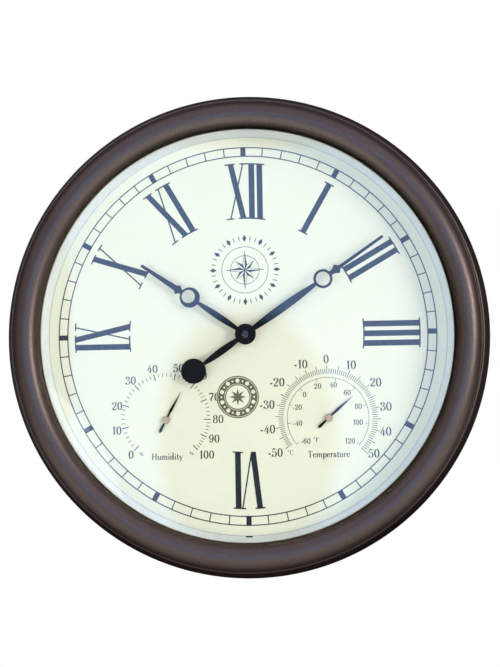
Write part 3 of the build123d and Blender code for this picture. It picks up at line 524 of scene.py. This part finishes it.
def cell_material():
    """A plain two-coloured film with a bare metal end, along the battery's axis."""
    rear, front = -0.0243, 0.0255
    second_colour, bare_end = 0.74, 0.985
    material, tree, out = new_material("cell_film")
    shader = tree.nodes.new("ShaderNodeBsdfPrincipled")
    along, _, _ = axes(tree, object_place(tree))
    ramp = tree.nodes.new("ShaderNodeValToRGB")
    ramp.color_ramp.interpolation = "CONSTANT"
    stops = ramp.color_ramp.elements
    stops[0].color = srgb(58, 104, 104)
    stops[1].position = second_colour
    stops[1].color = srgb(206, 206, 200)
    stops.new(bare_end).color = srgb(205, 205, 205)
    tree.links.new(mapped(tree, along, 0, 1, rear, front), ramp.inputs["Fac"])
    scuff = noise(tree, 900.0)
    colour = mixed(tree, mapped(tree, scuff, 0, 0.12), ramp.outputs["Color"], srgb(225, 225, 225))
    tree.links.new(colour, shader.inputs["Base Color"])
    tree.links.new(mapped(tree, scuff, 0.28, 0.4), shader.inputs["Roughness"])
    shader.inputs["Metallic"].default_value = 0.55
    tree.links.new(shader.outputs["BSDF"], out.inputs["Surface"])
    return material


def bronze_material():
    """Satin bronze paint with fine flakes, and painted shade beside the glass, on the lower outer
    roll and on the skirt below the bead.
    """
    # Where each painted shade starts and ends, in metres: from the hands' axis, along it to the
    # upper right, or above it
    lip_shade_fade, roll_shade_fade, skirt_shade_fade = (0.1493, 0.1525), (0.157, 0.166), (0.170, 0.172)
    lip_light_slant_fade = (-0.15, 0.15)
    low_shade_fade = (-0.05, -0.14)
    material = painted("bronze_paint", (94, 81, 76), (128, 114, 107), 1500.0, (0.34, 0.45),
                       metallic=0.95, grain=900.0, bump=0.35, bump_scale=1100.0,
                       broad=(22.0, (104, 90, 86), 0.5))
    tree = material.node_tree
    shader = [node for node in tree.nodes if node.type == "BSDF_PRINCIPLED"][0]
    colour = shader.inputs["Base Color"].links[0].from_socket
    flat = moved(tree, object_place(tree), (0, 0, hanger_height * millimetre), (1, 0, 1))
    radius = length(tree, flat)
    across, _, up = axes(tree, flat)
    lip_light_slant = mapped(tree, combined(tree, "ADD", across, up), 0, 1, *lip_light_slant_fade)
    # Painted shade and light on the lip beside the glass: darkest towards the upper right, lighter
    # towards the lower left, as the light falls
    lip_painted_shade = mixed(tree, lip_light_slant, srgb(90, 78, 71), srgb(38, 33, 31))
    colour = mixed(tree, mapped(tree, radius, 1, 0, *lip_shade_fade), colour, lip_painted_shade)
    # Painted shade on the outer part of the roll, darker towards the bottom, where it faces down
    underside_shade_mask = mapped(tree, up, 0, 1, *low_shade_fade)
    roll_shade_mask = mapped(tree, radius, 0, 1, *roll_shade_fade)
    colour = mixed(tree, combined(tree, "MULTIPLY", underside_shade_mask, roll_shade_mask), colour, srgb(72, 61, 57))
    # Painted shade on the skirt beyond the bead, darkest underneath
    skirt_painted_shade = mixed(tree, underside_shade_mask, srgb(82, 69, 65), srgb(36, 30, 28))
    colour = mixed(tree, mapped(tree, radius, 0, 1, *skirt_shade_fade), colour, skirt_painted_shade)
    tree.links.new(colour, shader.inputs["Base Color"])
    shader.inputs["Specular Tint"].default_value = (0.4, 0.36, 0.35, 1)
    return material


def steel(name, dark, light, rough=(0.3, 0.45)):
    """Drawn sheet with fine lines."""
    return painted(name, dark, light, 60.0, rough, metallic=0.95, stretch=(1, 1, 30), bump=0.12,
                   bump_scale=90.0)


def plastic(name, dark, light, rough=(0.42, 0.55)):
    """Moulded plastic with a fine grain."""
    return painted(name, dark, light, 700.0, rough, bump=0.25, bump_scale=2200.0)


finishes = {
    "frame_paint": bronze_material(),
    "gasket": painted("gasket_rubber", (20, 20, 20), (30, 30, 30), 900.0, (0.6, 0.75), bump=0.2),
    "glass": glass_material(),
    "ring_white": painted(
        "ring_plastic", (232, 237, 238), (240, 245, 246), 300.0, (0.38, 0.5), bump=0.08,
        bump_scale=900.0, specular=0.3, broad=(16.0, (230, 234, 234), 0.5)),
    # Painted shade: the pale grey of the thin line at the white ring's foot
    "edge_grey": painted(
        "ring_foot_shade_paint", (190, 197, 204), (200, 207, 213), 700.0, (0.5, 0.65), bump=0.06,
        specular=0.2),
    "badge": painted(
        "badge_print", (104, 100, 80), (118, 113, 92), 900.0, (0.5, 0.65), bump=0.06, specular=0.2),
    "dial_paint": painted(
        "dial_enamel", (248, 248, 221), (251, 251, 227), 420.0, (0.55, 0.68), bump=0.06,
        bump_scale=1200.0, specular=0.15, broad=(9.0, (247, 247, 216), 0.6)),
    # Painted shade: the dark behind the slot at the white ring's foot
    "slot_black": painted(
        "slot_painted_shade", (20, 21, 22), (28, 29, 31), 700.0, (0.6, 0.75), specular=0.1),
    "ink": painted(
        "dial_ink", (38, 41, 50), (46, 50, 60), 800.0, (0.5, 0.65), bump=0.08, bump_scale=1800.0,
        specular=0.2),
    "bracket_steel": steel("bracket_zinc", (150, 150, 152), (176, 176, 178)),
    "back_paint": painted(
        "back_enamel", (62, 61, 60), (74, 73, 71), 1400.0, (0.42, 0.58), metallic=0.2, bump=0.3,
        bump_scale=1700.0, broad=(14.0, (82, 80, 78), 0.4)),
    "screw_steel": steel("screw_zinc", (160, 160, 162), (190, 190, 192)),
    "hanger_steel": steel("hanger_zinc", (156, 156, 158), (184, 184, 186)),
    "rivet_aluminium": painted(
        "rivet_metal", (186, 186, 188), (206, 206, 208), 700.0, (0.32, 0.46), metallic=0.95,
        bump=0.15),
    "case_plastic": plastic("case_black", (36, 36, 37), (48, 48, 49)),
    "bridge_plastic": plastic("bridge_white", (214, 213, 203), (226, 225, 216)),
    "wheel_plastic": plastic("wheel_white", (220, 219, 212), (232, 231, 224)),
    "brass": painted(
        "plain_brass", (186, 150, 84), (206, 170, 100), 500.0, (0.22, 0.36), metallic=0.95,
        bump=0.08),
    "washer_rubber": painted(
        "washer_black", (20, 20, 20), (32, 32, 32), 900.0, (0.6, 0.75), bump=0.2),
    "magnet": painted(
        "magnet_ferrite", (44, 44, 47), (58, 58, 61), 1600.0, (0.4, 0.6), metallic=0.6, bump=0.2),
    "stator_steel": steel("stator_sheet", (150, 150, 150), (172, 172, 172)),
    "bobbin_plastic": plastic("bobbin_cream", (200, 196, 182), (216, 212, 198)),
    "winding": painted(
        "copper_wire", (150, 78, 44), (186, 100, 60), 40.0, (0.25, 0.4), metallic=0.9,
        stretch=(1, 1, 260), bump=0.9, bump_scale=60.0),
    "board": plastic("board_laminate", (116, 74, 40), (134, 88, 50)),
    "crystal_can": painted(
        "crystal_metal", (200, 200, 204), (216, 216, 220), 600.0, (0.15, 0.25), metallic=1.0),
    "chip_resin": plastic("chip_black", (18, 18, 18), (28, 28, 28), rough=(0.25, 0.4)),
    "knob_plastic": plastic("knob_grey", (96, 96, 96), (112, 112, 112)),
    "cell_jacket": cell_material(),
    "contact_steel": steel("contact_nickel", (186, 182, 172), (204, 200, 190), rough=(0.2, 0.35)),
    "hand_paint": painted(
        "hand_enamel", (14, 15, 17), (20, 21, 24), 900.0, (0.3, 0.4), bump=0.06, bump_scale=1600.0,
        specular=0.12),
    "nut_enamel": painted(
        "nut_gloss", (84, 85, 92), (94, 95, 102), 900.0, (0.05, 0.08), metallic=1.0),
    "cup_steel": painted(
        "cup_aluminium", (168, 168, 170), (186, 186, 188), 500.0, (0.35, 0.5), metallic=0.9,
        bump=0.1),
    "coil_bimetal": painted(
        "coil_strip", (166, 142, 100), (186, 162, 120), 600.0, (0.3, 0.45), metallic=0.9),
    "hub_brass": painted(
        "hub_metal", (197, 174, 148), (211, 189, 162), 900.0, (0.35, 0.5), metallic=0.3, bump=0.1),
}
for entry in frame["record"]["subparts"]:
    for holder in frame["nodes"][entry["node"]].material_slots:
        holder.material = finishes[entry["material_slot"]]

# Frame: one spun sheet, turned finer than the solid's mesh

sheet = 1.4
lip_radius = 149.0
roll = 9.4
roll_radius = 158.4
roll_depth = 42.0
valley = 42.6
bead = 0.9
bead_radius = 169.2
bead_start, bead_end = 150, -20
groove_ease = 5
skirt = 169.9
rim = 178.0
rim_depth = 25.0
rim_rounding = 1.2
rear = 176.5
hem = 4.0
ledge = 7.0


def frame_section():
    end = math.degrees(math.asin((valley - roll_depth) / roll)) + groove_ease
    inner_end = math.degrees(math.asin((valley - sheet - roll_depth) / (roll - sheet)))
    section = arc(roll_radius, roll_depth, roll, 180, end, count=48)
    section += arc(bead_radius, valley, bead, bead_start, bead_end, count=14)
    section += rounded((skirt, valley), (rim, rim_depth), (rear, 0), rim_rounding)
    section += [(rear, 0), (rear - hem, 0), (rear - hem, sheet), (rear - sheet, sheet)]
    section += [(rim - sheet, rim_depth), (skirt - sheet, valley - sheet)]
    section += arc(roll_radius, roll_depth, roll - sheet, inner_end, 180, count=40)
    section += [(lip_radius + ledge, roll_depth), (lip_radius + ledge, roll_depth - sheet)]
    return section + [(lip_radius, roll_depth - sheet)]


spun = revolved("frame_ring", stations(frame_section()), finishes["frame_paint"])
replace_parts(spun, "front_frame")

# Inner ring from the dial to the glass, with a slot at its foot

foot = 147.6
top = 149.2
wall = 1.4
flange = 3.0
flange_sheet = 1.2
slot_half = 2.6
slot_height = 2.4
lean = (top - foot) / (glass_back - dial_face)
flange_edge = foot + wall + flange
wall_step = lean * flange_sheet


def ring_section(low_inner):
    upper = glass_back - flange_sheet
    lower = dial_face + flange_sheet
    return [
        low_inner, (foot + wall, dial_face), (flange_edge, dial_face), (flange_edge, lower),
        (foot + wall + wall_step, lower), (top + wall - wall_step, upper), (flange_edge, upper),
        (flange_edge, glass_back), (top, glass_back),
        (foot + lean * slot_height, dial_face + slot_height)]


slot_angle = math.degrees(math.asin(slot_half / foot))
notched = ring_section((foot + wall, dial_face + slot_height))
ring_stations = stations(ring_section((foot, dial_face)), notched,
                         180 - slot_angle, 180 + slot_angle)
white_ring = revolved("spacer_ring", ring_stations, finishes["ring_white"])
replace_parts(white_ring, "inner_ring")

# Minute track with finer circles, a thin line of painted shade at the white ring's foot, and
# painted shade behind the slot

track_outer = 139.6
track_inner = 133.1
track_line = 0.75
hour_block = 3.8
foot_shade_radius = 147.2
foot_shade_line = 0.4
shade_end = 150.4
fine_circle = 720

track = Print()
for radius in (track_outer, track_inner):
    track.ring(0, 0, radius, track_line, fine_circle)
for minute in range(60):
    turn = math.radians(6 * minute)
    width = track_line if minute % 5 else hour_block
    away = Vector((math.sin(turn), math.cos(turn)))
    track.line(away * track_inner, away * track_outer, width)
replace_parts(track.piece("track_print", "ink"), "minute_track")

# Painted shade: a thin grey line on the dial where the white ring meets it
edge = Print()
edge.ring(0, 0, foot_shade_radius, foot_shade_line, fine_circle)
edge.piece("ring_foot_painted_shade", "edge_grey")
# Painted shade: a dark patch on the dial behind the slot, where there is only shadow
shade = Print()
shade.line((0, -foot_shade_radius), (0, -shade_end), 2 * slot_half)
shade.piece("slot_painted_shade", "slot_black")

# Hands, with rounder discs and rings than the solids' meshes and an eased front edge. Parts are
# half widths at distances from the axis along the upright hand.

hand_sheet = 0.6
edge_ease = 0.15
blade_start = 5.0
ring_overlap = 0.6
arbor = 1.55
pipe = 2.55
hole_points = 96
least_half = 0.02
tolerance = 1e-4


def round_part(centre, radius, count=72):
    """Samples along a hand and the half width there, for a disc on its centre line."""
    def half(y):
        return math.sqrt(max(radius ** 2 - (y - centre) ** 2, 0.0))

    ys = [centre - radius * math.cos(math.pi * i / count) for i in range(count + 1)]
    return ys, half, centre - radius, centre + radius


def lens_part(start, middle, end, halves, count=40):
    """A blade with sides that are arcs through three half widths."""
    first, second, third = (Vector(p) for p in zip(halves, (start, middle, end)))
    a, b = second - first, third - first
    twice = 2 * (a.x * b.y - a.y * b.x)
    offset = Vector((b.y * a.length_squared - a.y * b.length_squared,
                     a.x * b.length_squared - b.x * a.length_squared)) / twice
    centre, radius = first + offset, offset.length

    def half(y):
        return centre.x + math.sqrt(radius ** 2 - (y - centre.y) ** 2)

    low, high = min(start, end), max(start, end)
    return [low + (high - low) * i / count for i in range(count + 1)], half, low, high


def dart_part(corners):
    """Straight runs between (distance, half width) corners."""
    def half(y):
        for (y1, h1), (y2, h2) in zip(corners, corners[1:]):
            if y1 <= y <= y2:
                return h1 + (h2 - h1) * (y - y1) / (y2 - y1)
        return 0.0

    return [y for y, _ in corners], half, corners[0][0], corners[-1][0]


def hand(name, parts, holes, low, clock_angle, body, node, pivot=(0, 0), thickness=hand_sheet):
    """One flat sheet in the outline of all the parts together, less the holes."""
    samples = sorted({round(y, 4) for ys, _, _, _ in parts for y in ys})
    sides = []
    for y in samples:
        widths = [half(y) for _, half, start, end in parts
                  if start - tolerance <= y <= end + tolerance]
        sides.append((max(widths), y))
    sides = [(w, y) for w, y in sides if w > least_half or y in (samples[0], samples[-1])]
    loops = [sides + [(-w, y) for w, y in reversed(sides[1:-1])]]
    for y, radius in holes:
        loops.append(arc(0, y, radius, 360, 360 / hole_points, hole_points - 1))
    turn = math.radians(clock_angle)
    front = low + thickness
    verts, faces, caps = [], [], ([], [])
    for loop in loops:
        base, count = len(verts), len(loop)
        for ease, d in ((0, low), (0, front - edge_ease), (edge_ease, front)):
            for i, (x, y) in enumerate(loop):
                way = (Vector(loop[(i + 1) % count]) - Vector(loop[i - 1])).normalized()
                px, py = x - way.y * ease, y + way.x * ease
                verts.append(spot(pivot[0] + px * math.cos(turn) + py * math.sin(turn),
                                  pivot[1] + py * math.cos(turn) - px * math.sin(turn), d))
        for row in range(2):
            for i in range(count):
                j = (i + 1) % count
                first = base + row * count
                faces.append((first + i, first + j, first + count + j, first + count + i))
        caps[0].append(range(base, base + count))
        caps[1].append(range(base + 2 * count, base + 3 * count))
    for cap in caps:
        flat = [[Vector((verts[i].x, verts[i].z, 0)) for i in ring] for ring in cap]
        order = [i for ring in cap for i in ring]
        faces += [tuple(order[k] for k in face) for face in geometry.tessellate_polygon(flat)]
    piece = add_mesh(name, verts, faces, finishes["hand_paint"], body=body,
                     smooth=True)
    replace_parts(piece, node)


hour_angle = 304.4
hour_hand_low = 29.2
hour_boss_radius = 6.9
hour_blade_mid = 24.5
hour_blade_halves = (1.1, 2.35, 1.1)
hour_ring_centre = 49.3
hour_ring_radius = 7.45
hour_ring_hole = 4.9
hour_ring_shift = 1.3
hour_collar = ((56.2, 1.5), (58.4, 2.2), (59.9, 3.8), (61.9, 2.1))
hour_tip = 92.8
hour_tip_half = 1.05
hour_stem_end = hour_tip - hour_tip_half
hour_blade_end = hour_ring_centre - hour_ring_radius + ring_overlap
hour_parts = [
    round_part(0, hour_boss_radius),
    lens_part(blade_start, hour_blade_mid, hour_blade_end, hour_blade_halves),
    round_part(hour_ring_centre, hour_ring_radius),
    dart_part(hour_collar + ((hour_stem_end, hour_tip_half),)),
    round_part(hour_stem_end, hour_tip_half, count=16)]
hour_holes = ((hour_ring_centre + hour_ring_shift, hour_ring_hole), (0, pipe))
hand("hour_blade", hour_parts, hour_holes, hour_hand_low, hour_angle, "hour", "hour_hand")

minute_angle = 55.5
minute_hand_low = 31.6
boss_radius = 7.65
minute_blade_mid = 33.0
minute_blade_halves = (1.6, 3.0, 1.3)
minute_ring_centre = 69.4
minute_ring_radius = 6.95
minute_ring_hole = 5.1
minute_collar = ((75.7, 1.4), (78.3, 1.9), (80.3, 2.7), (81.7, 3.8), (84.0, 1.4), (88.0, 1.2))
minute_tip = 122.8
minute_tip_half = 1.0
tail_mid = 22.0
tail_halves = (1.3, 2.6, 1.1)
tail_disc_centre = 46.5
tail_disc_radius = 9.2
minute_stem_end = minute_tip - minute_tip_half
minute_blade_end = minute_ring_centre - minute_ring_radius + ring_overlap
tail_end = tail_disc_centre - tail_disc_radius + ring_overlap
minute_parts = [
    round_part(0, boss_radius),
    lens_part(blade_start, minute_blade_mid, minute_blade_end, minute_blade_halves),
    round_part(minute_ring_centre, minute_ring_radius),
    dart_part(minute_collar + ((minute_stem_end, minute_tip_half),)),
    round_part(minute_stem_end, minute_tip_half, count=16),
    lens_part(-blade_start, -tail_mid, -tail_end, tail_halves),
    round_part(-tail_disc_centre, tail_disc_radius)]
minute_holes = ((minute_ring_centre, minute_ring_hole), (0, arbor))
hand("minute_blade", minute_parts, minute_holes, minute_hand_low, minute_angle, "minute",
     "minute_hand")

# Needles of the gauges, and a thin dark line of painted shade around the hub on each

pointer_low = 25.6
pointer_sheet = 0.3
pointer_front = pointer_low + pointer_sheet
pointer_boss = 1.5
pointer_tail = ((-10.9, 0.3), (-9.0, 1.15), (-1.0, 0.5))
pointer_blade = ((1.0, 0.55), (9.0, 1.0), (24.6, 0.42))
spindle = 0.6
hub_shade_radius = 2.7
hub_shade_line = 0.22
pointer_parts = [dart_part(pointer_tail), round_part(0, pointer_boss), dart_part(pointer_blade)]
gauges = (
    ("humidity", "hygrometer", (-60.0, -62.0), 28.0),
    ("temperature", "thermometer", (59.6, -62.0), 47.5),
)
for gauge, works, pivot, angle in gauges:
    body = gauge + "_needle"
    hand(works + "_blade", pointer_parts, ((0, spindle),), pointer_low, angle, body,
         works + "_pointer", pivot, pointer_sheet)
    # Painted shade: a thin dark ring at the hub's edge
    hub_painted_shade = Print(pointer_front, pointer_front + ink)
    hub_painted_shade.ring(*pivot, hub_shade_radius, hub_shade_line)
    hub_painted_shade.piece(works + "_hub_painted_shade", "hand_paint", "hand_paint", body)

# Cap nut over the hands

cap_low = minute_hand_low + hand_sheet
cap_radius = 3.1
cap_height = 2.2
cap_round = 2.1
cap_round_end = 84
arbor_top = 33.2
cap_section = [(arbor, cap_low), (cap_radius, cap_low)]
cap_section += arc(cap_radius - cap_round, cap_low + cap_height - cap_round, cap_round, 0,
                   cap_round_end, count=12)
cap_section += [(0, cap_low + cap_height), (0, arbor_top), (arbor, arbor_top)]
cap = revolved("cap_nut_turned", stations(cap_section, segments=96), finishes["nut_enamel"],
               "minute")
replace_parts(cap, "cap_nut")

# Scales of the gauges with finer lines. They are printed a little off the needles' pivots, and
# their steps are uneven, as on the clock: an angle for each number.

humidity_centre = (-60.4, -60.6)
humidity_angles = (-135, -103, -72.6, -43, -14.8, 13.3, 41, 66.3, 92.5, 115.4, 135.2)
humidity_short = (30.5, 33.1, 0.42)
humidity_long = (28.5, 33.4, 0.65)
temperature_centre = (59.1, -62.3)
celsius_angles = (-125, -100.3, -75, -49.7, -24.6, -0.2, 25.9, 51.9, 78.4, 104.9, 132.6)
celsius_inner = 32.5
celsius_short = 36.2
celsius_long = 38.7
celsius_line = 0.4
fahrenheit_angles = (-128.9, -97, -69.7, -42.3, -15.5, 12.4, 41.9, 71.2, 98.9, 131.3)
fahrenheit_radius = 29.8
fahrenheit_tick = 2.3
fahrenheit_line = 0.3


def between(angles, place):
    """The angle at a place on the scale, counted in numbers from its start."""
    lower = min(int(place), len(angles) - 2)
    return angles[lower] + (angles[lower + 1] - angles[lower]) * (place - lower)


def tick(page, centre, low, high, line, angle):
    away = Vector((math.sin(math.radians(angle)), math.cos(math.radians(angle))))
    page.line(Vector(centre) + away * low, Vector(centre) + away * high, line)


marks = Print()
for step in range(51):
    low, high, line = humidity_short if step % 5 else humidity_long
    tick(marks, humidity_centre, low, high, line, between(humidity_angles, step / 5))
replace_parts(marks.piece("humidity_marks", "ink"), "humidity_scale")

marks = Print()
for step in range(101):
    high = celsius_short if step % 5 else celsius_long
    tick(marks, temperature_centre, celsius_inner, high, celsius_line,
         between(celsius_angles, step / 10))
bow = arc(*temperature_centre, fahrenheit_radius, 90 - fahrenheit_angles[0],
          90 - fahrenheit_angles[-1], 180)
marks.stroke(bow, lambda way: fahrenheit_line / 2)
for angle in fahrenheit_angles:
    tick(marks, temperature_centre, fahrenheit_radius - fahrenheit_tick, fahrenheit_radius,
         fahrenheit_line, angle)
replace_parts(marks.piece("temperature_marks", "ink"), "temperature_scale")

# Numbers and words of the gauges. Each scale has the point that its places are counted from,
# the places, its first number, its step and the numbers' height.

percent_places = (
    (-26.2, -25.2), (-36.7, -7.3), (-36.3, 10.8), (-26.0, 29.4), (-9.7, 37.8), (9.8, 38.0),
    (26.9, 32.4), (36.0, 16.5), (38.7, 0.1), (35.6, -14.2), (29.9, -25.8))
celsius_places = (
    (-39.3, -24.7), (-44.6, -7.6), (-44.7, 10.4), (-37.1, 26.7), (-19.5, 39.7), (-1.0, 43.1),
    (17.2, 38.6), (34.8, 25.6), (41.8, 7.9), (41.2, -10.3), (32.3, -26.1))
fahrenheit_places = (
    (-17.0, -16.6), (-22.7, -3.5), (-22.8, 8.2), (-17.3, 17.4), (-7.6, 23.4), (3.9, 24.2),
    (13.9, 18.4), (21.7, 8.2), (21.2, -3.4), (15.2, -16.8))
scales = (
    ((-60.1, -62.0), percent_places, 0, 10, 5.9),
    ((59.7, -62.2), celsius_places, -50, 10, 6.2),
    ((59.7, -62.2), fahrenheit_places, -60, 20, 3.9),
)
words = (("Humidity", -59.6, -88.9, 23.3), ("Temperature", 59.1, -88.4, 31.0))
word_height, word_weight = 4.6, 1.25
units = (("F", 50.9, -77.9), ("C", 32.2, -87.0))
unit_height, unit_weight = 3.1, 1.3
degree_left, degree_up, degree_radius = 2.1, 1.2, 0.45
percent_signs = ((-78.7, -86.9), (-41.6, -86.8))
slash_across, slash_up = 1.1, 1.2
zero_across, zero_up, zero_radius, zero_line = 0.85, 0.65, 0.5, 0.28
sign_line = 0.22
small_circle = 20

numbers = Print()
for (centre_x, centre_y), places, first, step, height in scales:
    for i, (x, y) in enumerate(places):
        write(numbers, str(first + step * i), centre_x + x, centre_y + y, height)
for word, x, y, width in words:
    write(numbers, word, x, y, word_height, width, letter_pen, word_weight)
for letter, x, y in units:
    write(numbers, letter, x, y, unit_height, None, letter_pen, unit_weight)
    numbers.ring(x - degree_left, y + degree_up, degree_radius, sign_line, small_circle)
for x, y in percent_signs:
    numbers.line((x - slash_across, y - slash_up), (x + slash_across, y + slash_up), sign_line)
    for side in (-1, 1):
        numbers.ring(x + zero_across * side, y - zero_up * side, zero_radius, zero_line,
                     small_circle)
numbers.piece("gauge_numbers", "ink")

# A compass card above the hands, where the clock has a picture in a ring of words

card_x, card_y = 0.0, 48.0
point_step = 45
point_reaches = (14.0, 9.4)
point_waist = 4.2
card_circles = (10.6, 17.2)
card_line = 0.35
point_line = 0.3
ray_inner, ray_outer, ray_line = 22.0, 25.2, 0.55
lozenge_inner, lozenge_middle, lozenge_outer, lozenge_spread = 20.9, 23.6, 26.3, 3.6


def card_spot(radius, angle):
    turn = math.radians(angle)
    return (card_x + radius * math.sin(turn), card_y + radius * math.cos(turn))


card = Print()
for i in range(8):
    angle = point_step * i
    centre, tip = card_spot(0, 0), card_spot(point_reaches[i % 2], angle)
    filled_side = card_spot(point_waist, angle + point_step / 2)
    open_side = card_spot(point_waist, angle - point_step / 2)
    card.outline([centre, filled_side, tip])
    card.line(centre, open_side, point_line)
    card.line(open_side, tip, point_line)
for radius in card_circles:
    card.ring(card_x, card_y, radius, card_line)
for i in range(36):
    angle = 10 * i
    if i % 3:
        card.line(card_spot(ray_inner, angle), card_spot(ray_outer, angle), ray_line)
    else:
        card.outline([
            card_spot(lozenge_inner, angle), card_spot(lozenge_middle, angle + lozenge_spread),
            card_spot(lozenge_outer, angle), card_spot(lozenge_middle, angle - lozenge_spread)])
card.piece("compass_card", "ink")

# A plain round badge below them: a band with dots and a small star

badge_x, badge_y = -6.8, -45.9
badge_outer = 15.6
badge_inner = 8.6
badge_middle = (badge_outer + badge_inner) / 2
star_radii, star_corners = (6.2, 2.6), 16
dot_radii, dot_count = (1.5, 0.7), 20
badge_line = 0.35
badge_line_inset = 1.0


def badge_spot(radius, turn):
    return (badge_x + radius * math.sin(turn), badge_y + radius * math.cos(turn))


band = Print()
band.ring(badge_x, badge_y, badge_middle, badge_outer - badge_inner)
star = [badge_spot(star_radii[i % 2], tau * i / star_corners) for i in range(star_corners)]
band.outline(star)
band.piece("badge_band", "badge")
dots = Print(dial_face + ink, dial_face + 2 * ink)
for i in range(dot_count):
    dots.dot(*badge_spot(badge_middle, tau * i / dot_count), dot_radii[i % 2])
for radius in (badge_outer - badge_line_inset, badge_inner + badge_line_inset):
    dots.ring(badge_x, badge_y, radius, badge_line)
dots.piece("badge_dots", "dial_paint", slot="dial_paint")

# Camera, as solved from the ellipses of the frame, the dial and the glass in the photograph

camera_place = (0.03138, -0.61426, -0.16564)
camera_right = Vector((0.99866, 0.04888, -0.01682))
camera_up = Vector((0.01893, -0.04302, 0.99889))
camera_back = Vector((0.04810, -0.99788, -0.04389))
camera_data = bpy.data.cameras.new("camera")
camera_data.lens = 43.18
camera_data.sensor_width = 36.0
camera_data.sensor_fit = "AUTO"
camera_data.shift_y = 0.005
camera_data.clip_start = 0.01
camera = bpy.data.objects.new("camera", camera_data)
bpy.context.scene.collection.objects.link(camera)
turn = Matrix((camera_right, camera_up, camera_back)).transposed().to_4x4()
camera.matrix_world = Matrix.Translation(camera_place) @ turn
bpy.context.scene.camera = camera

# Lamps


def lamp(name, place, size, power, colour):
    """A round lamp that faces the hands' axis on the dial."""
    data = bpy.data.lights.new(name, "AREA")
    data.shape = "DISK"
    data.size = size
    data.energy = power
    data.color = colour
    light = bpy.data.objects.new(name, data)
    light.location = place
    way = spot(0, 0, dial_face) - Vector(place)
    light.rotation_euler = way.to_track_quat("-Z", "Y").to_euler()
    bpy.context.scene.collection.objects.link(light)
    return light


# The key lamp stands 47 degrees to the right of the front, above the hands
lamp("key", (2.2, -2.07, 0.3), 0.9, 23.5, (1.0, 0.985, 0.94))
# A wide cool one opens the shadows from the lower left, with no glint of its own
fill = lamp("fill", (-1.4, -2.3, -0.85), 1.8, 18.0, (0.88, 0.95, 0.97))
fill.visible_glossy = False

# Floor

floor_side = 3.0
floor_front, floor_rear = -3.5, 1.0
floor_height = -1.2
floor_corners = [(-floor_side, floor_front, floor_height), (floor_side, floor_front, floor_height),
                 (floor_side, floor_rear, floor_height), (-floor_side, floor_rear, floor_height)]
floor_mesh = bpy.data.meshes.new("floor")
floor_mesh.from_pydata(floor_corners, [], [(0, 1, 2, 3)])
floor = bpy.data.objects.new("floor", floor_mesh)
bpy.context.scene.collection.objects.link(floor)
floor_mesh.materials.append(
    painted("floor_paint", (243, 243, 243), (246, 246, 246), 8.0, (0.6, 0.7)))

# World: even soft light on the object, white behind it in the camera's view, and a room of its
# own for reflections. Fades are the direction's x, y or z where each begins and ends.

sky_blue = (0.66, 1.05, 1.95, 1)
patch_dark = (0.015, 0.02, 0.015, 1)
patch_place, patch_scale, patch_fade = (0.469, 0.0, 0.495), (8.93, 0.0, 6.21), (0.88, 1.08)
sky_left_fade = (-0.269, -0.261)
sky_top_fade = (0.268, 0.278)
sky_front_fade = (-0.94, -0.92)
side_grey, above_blue = (0.26, 0.24, 0.25, 1), (0.56, 0.56, 0.74, 1)
behind_grey, below_dark = (0.15, 0.14, 0.14, 1), (0.05, 0.045, 0.045, 1)
wall_light = (0.85, 0.85, 0.85, 1)
above_fade, behind_fade, below_fade, wall_fade = (0.0, 0.7), (-0.3, 0.2), (-0.5, 0.0), (0.95, 0.985)

world = bpy.data.worlds.new("studio")
bpy.context.scene.world = world
world.use_nodes = True
tree = world.node_tree
tree.nodes.clear()
out = tree.nodes.new("ShaderNodeOutputWorld")
path = tree.nodes.new("ShaderNodeLightPath")


def background(strength=1.0, colour=(1, 1, 1, 1)):
    node = tree.nodes.new("ShaderNodeBackground")
    node.inputs["Color"].default_value = colour
    node.inputs["Strength"].default_value = strength
    return node


soft = background(0.84, (0.98, 1.0, 0.98, 1.0))
white = background()
room = background()
direction = tree.nodes.new("ShaderNodeTexCoord").outputs["Generated"]
toward_x, toward_y, toward_z = axes(tree, direction)

# Around: grey at the sides, paler blue above, dark below, a pale wall straight behind
around = mixed(tree, mapped(tree, toward_z, 0, 1, *above_fade), side_grey, above_blue)
around = mixed(tree, mapped(tree, toward_y, 0, 1, *behind_fade), around, behind_grey)
around = mixed(tree, mapped(tree, toward_z, 1, 0, *below_fade), around, below_dark)
around = mixed(tree, mapped(tree, toward_y, 0, 1, *wall_fade), around, wall_light)

# In front: a blue sky with a straight left and upper edge and a soft darker patch low in it
patch = length(tree, moved(tree, direction, patch_place, patch_scale))
sky = mixed(tree, mapped(tree, patch, 0, 1, *patch_fade), patch_dark, sky_blue)
sky = mixed(tree, mapped(tree, toward_x, 0, 1, *sky_left_fade), around, sky)
sky = mixed(tree, mapped(tree, toward_z, 1, 0, *sky_top_fade), around, sky)
sky = mixed(tree, mapped(tree, toward_y, 1, 0, *sky_front_fade), around, sky)
tree.links.new(sky, room.inputs["Color"])

seen = mixed_shader(tree, path.outputs["Is Glossy Ray"], soft.outputs["Background"],
                    room.outputs["Background"])
seen = mixed_shader(tree, path.outputs["Is Camera Ray"], seen, white.outputs["Background"])
tree.links.new(seen, out.inputs["Surface"])

bpy.context.scene.view_settings.view_transform = "Standard"
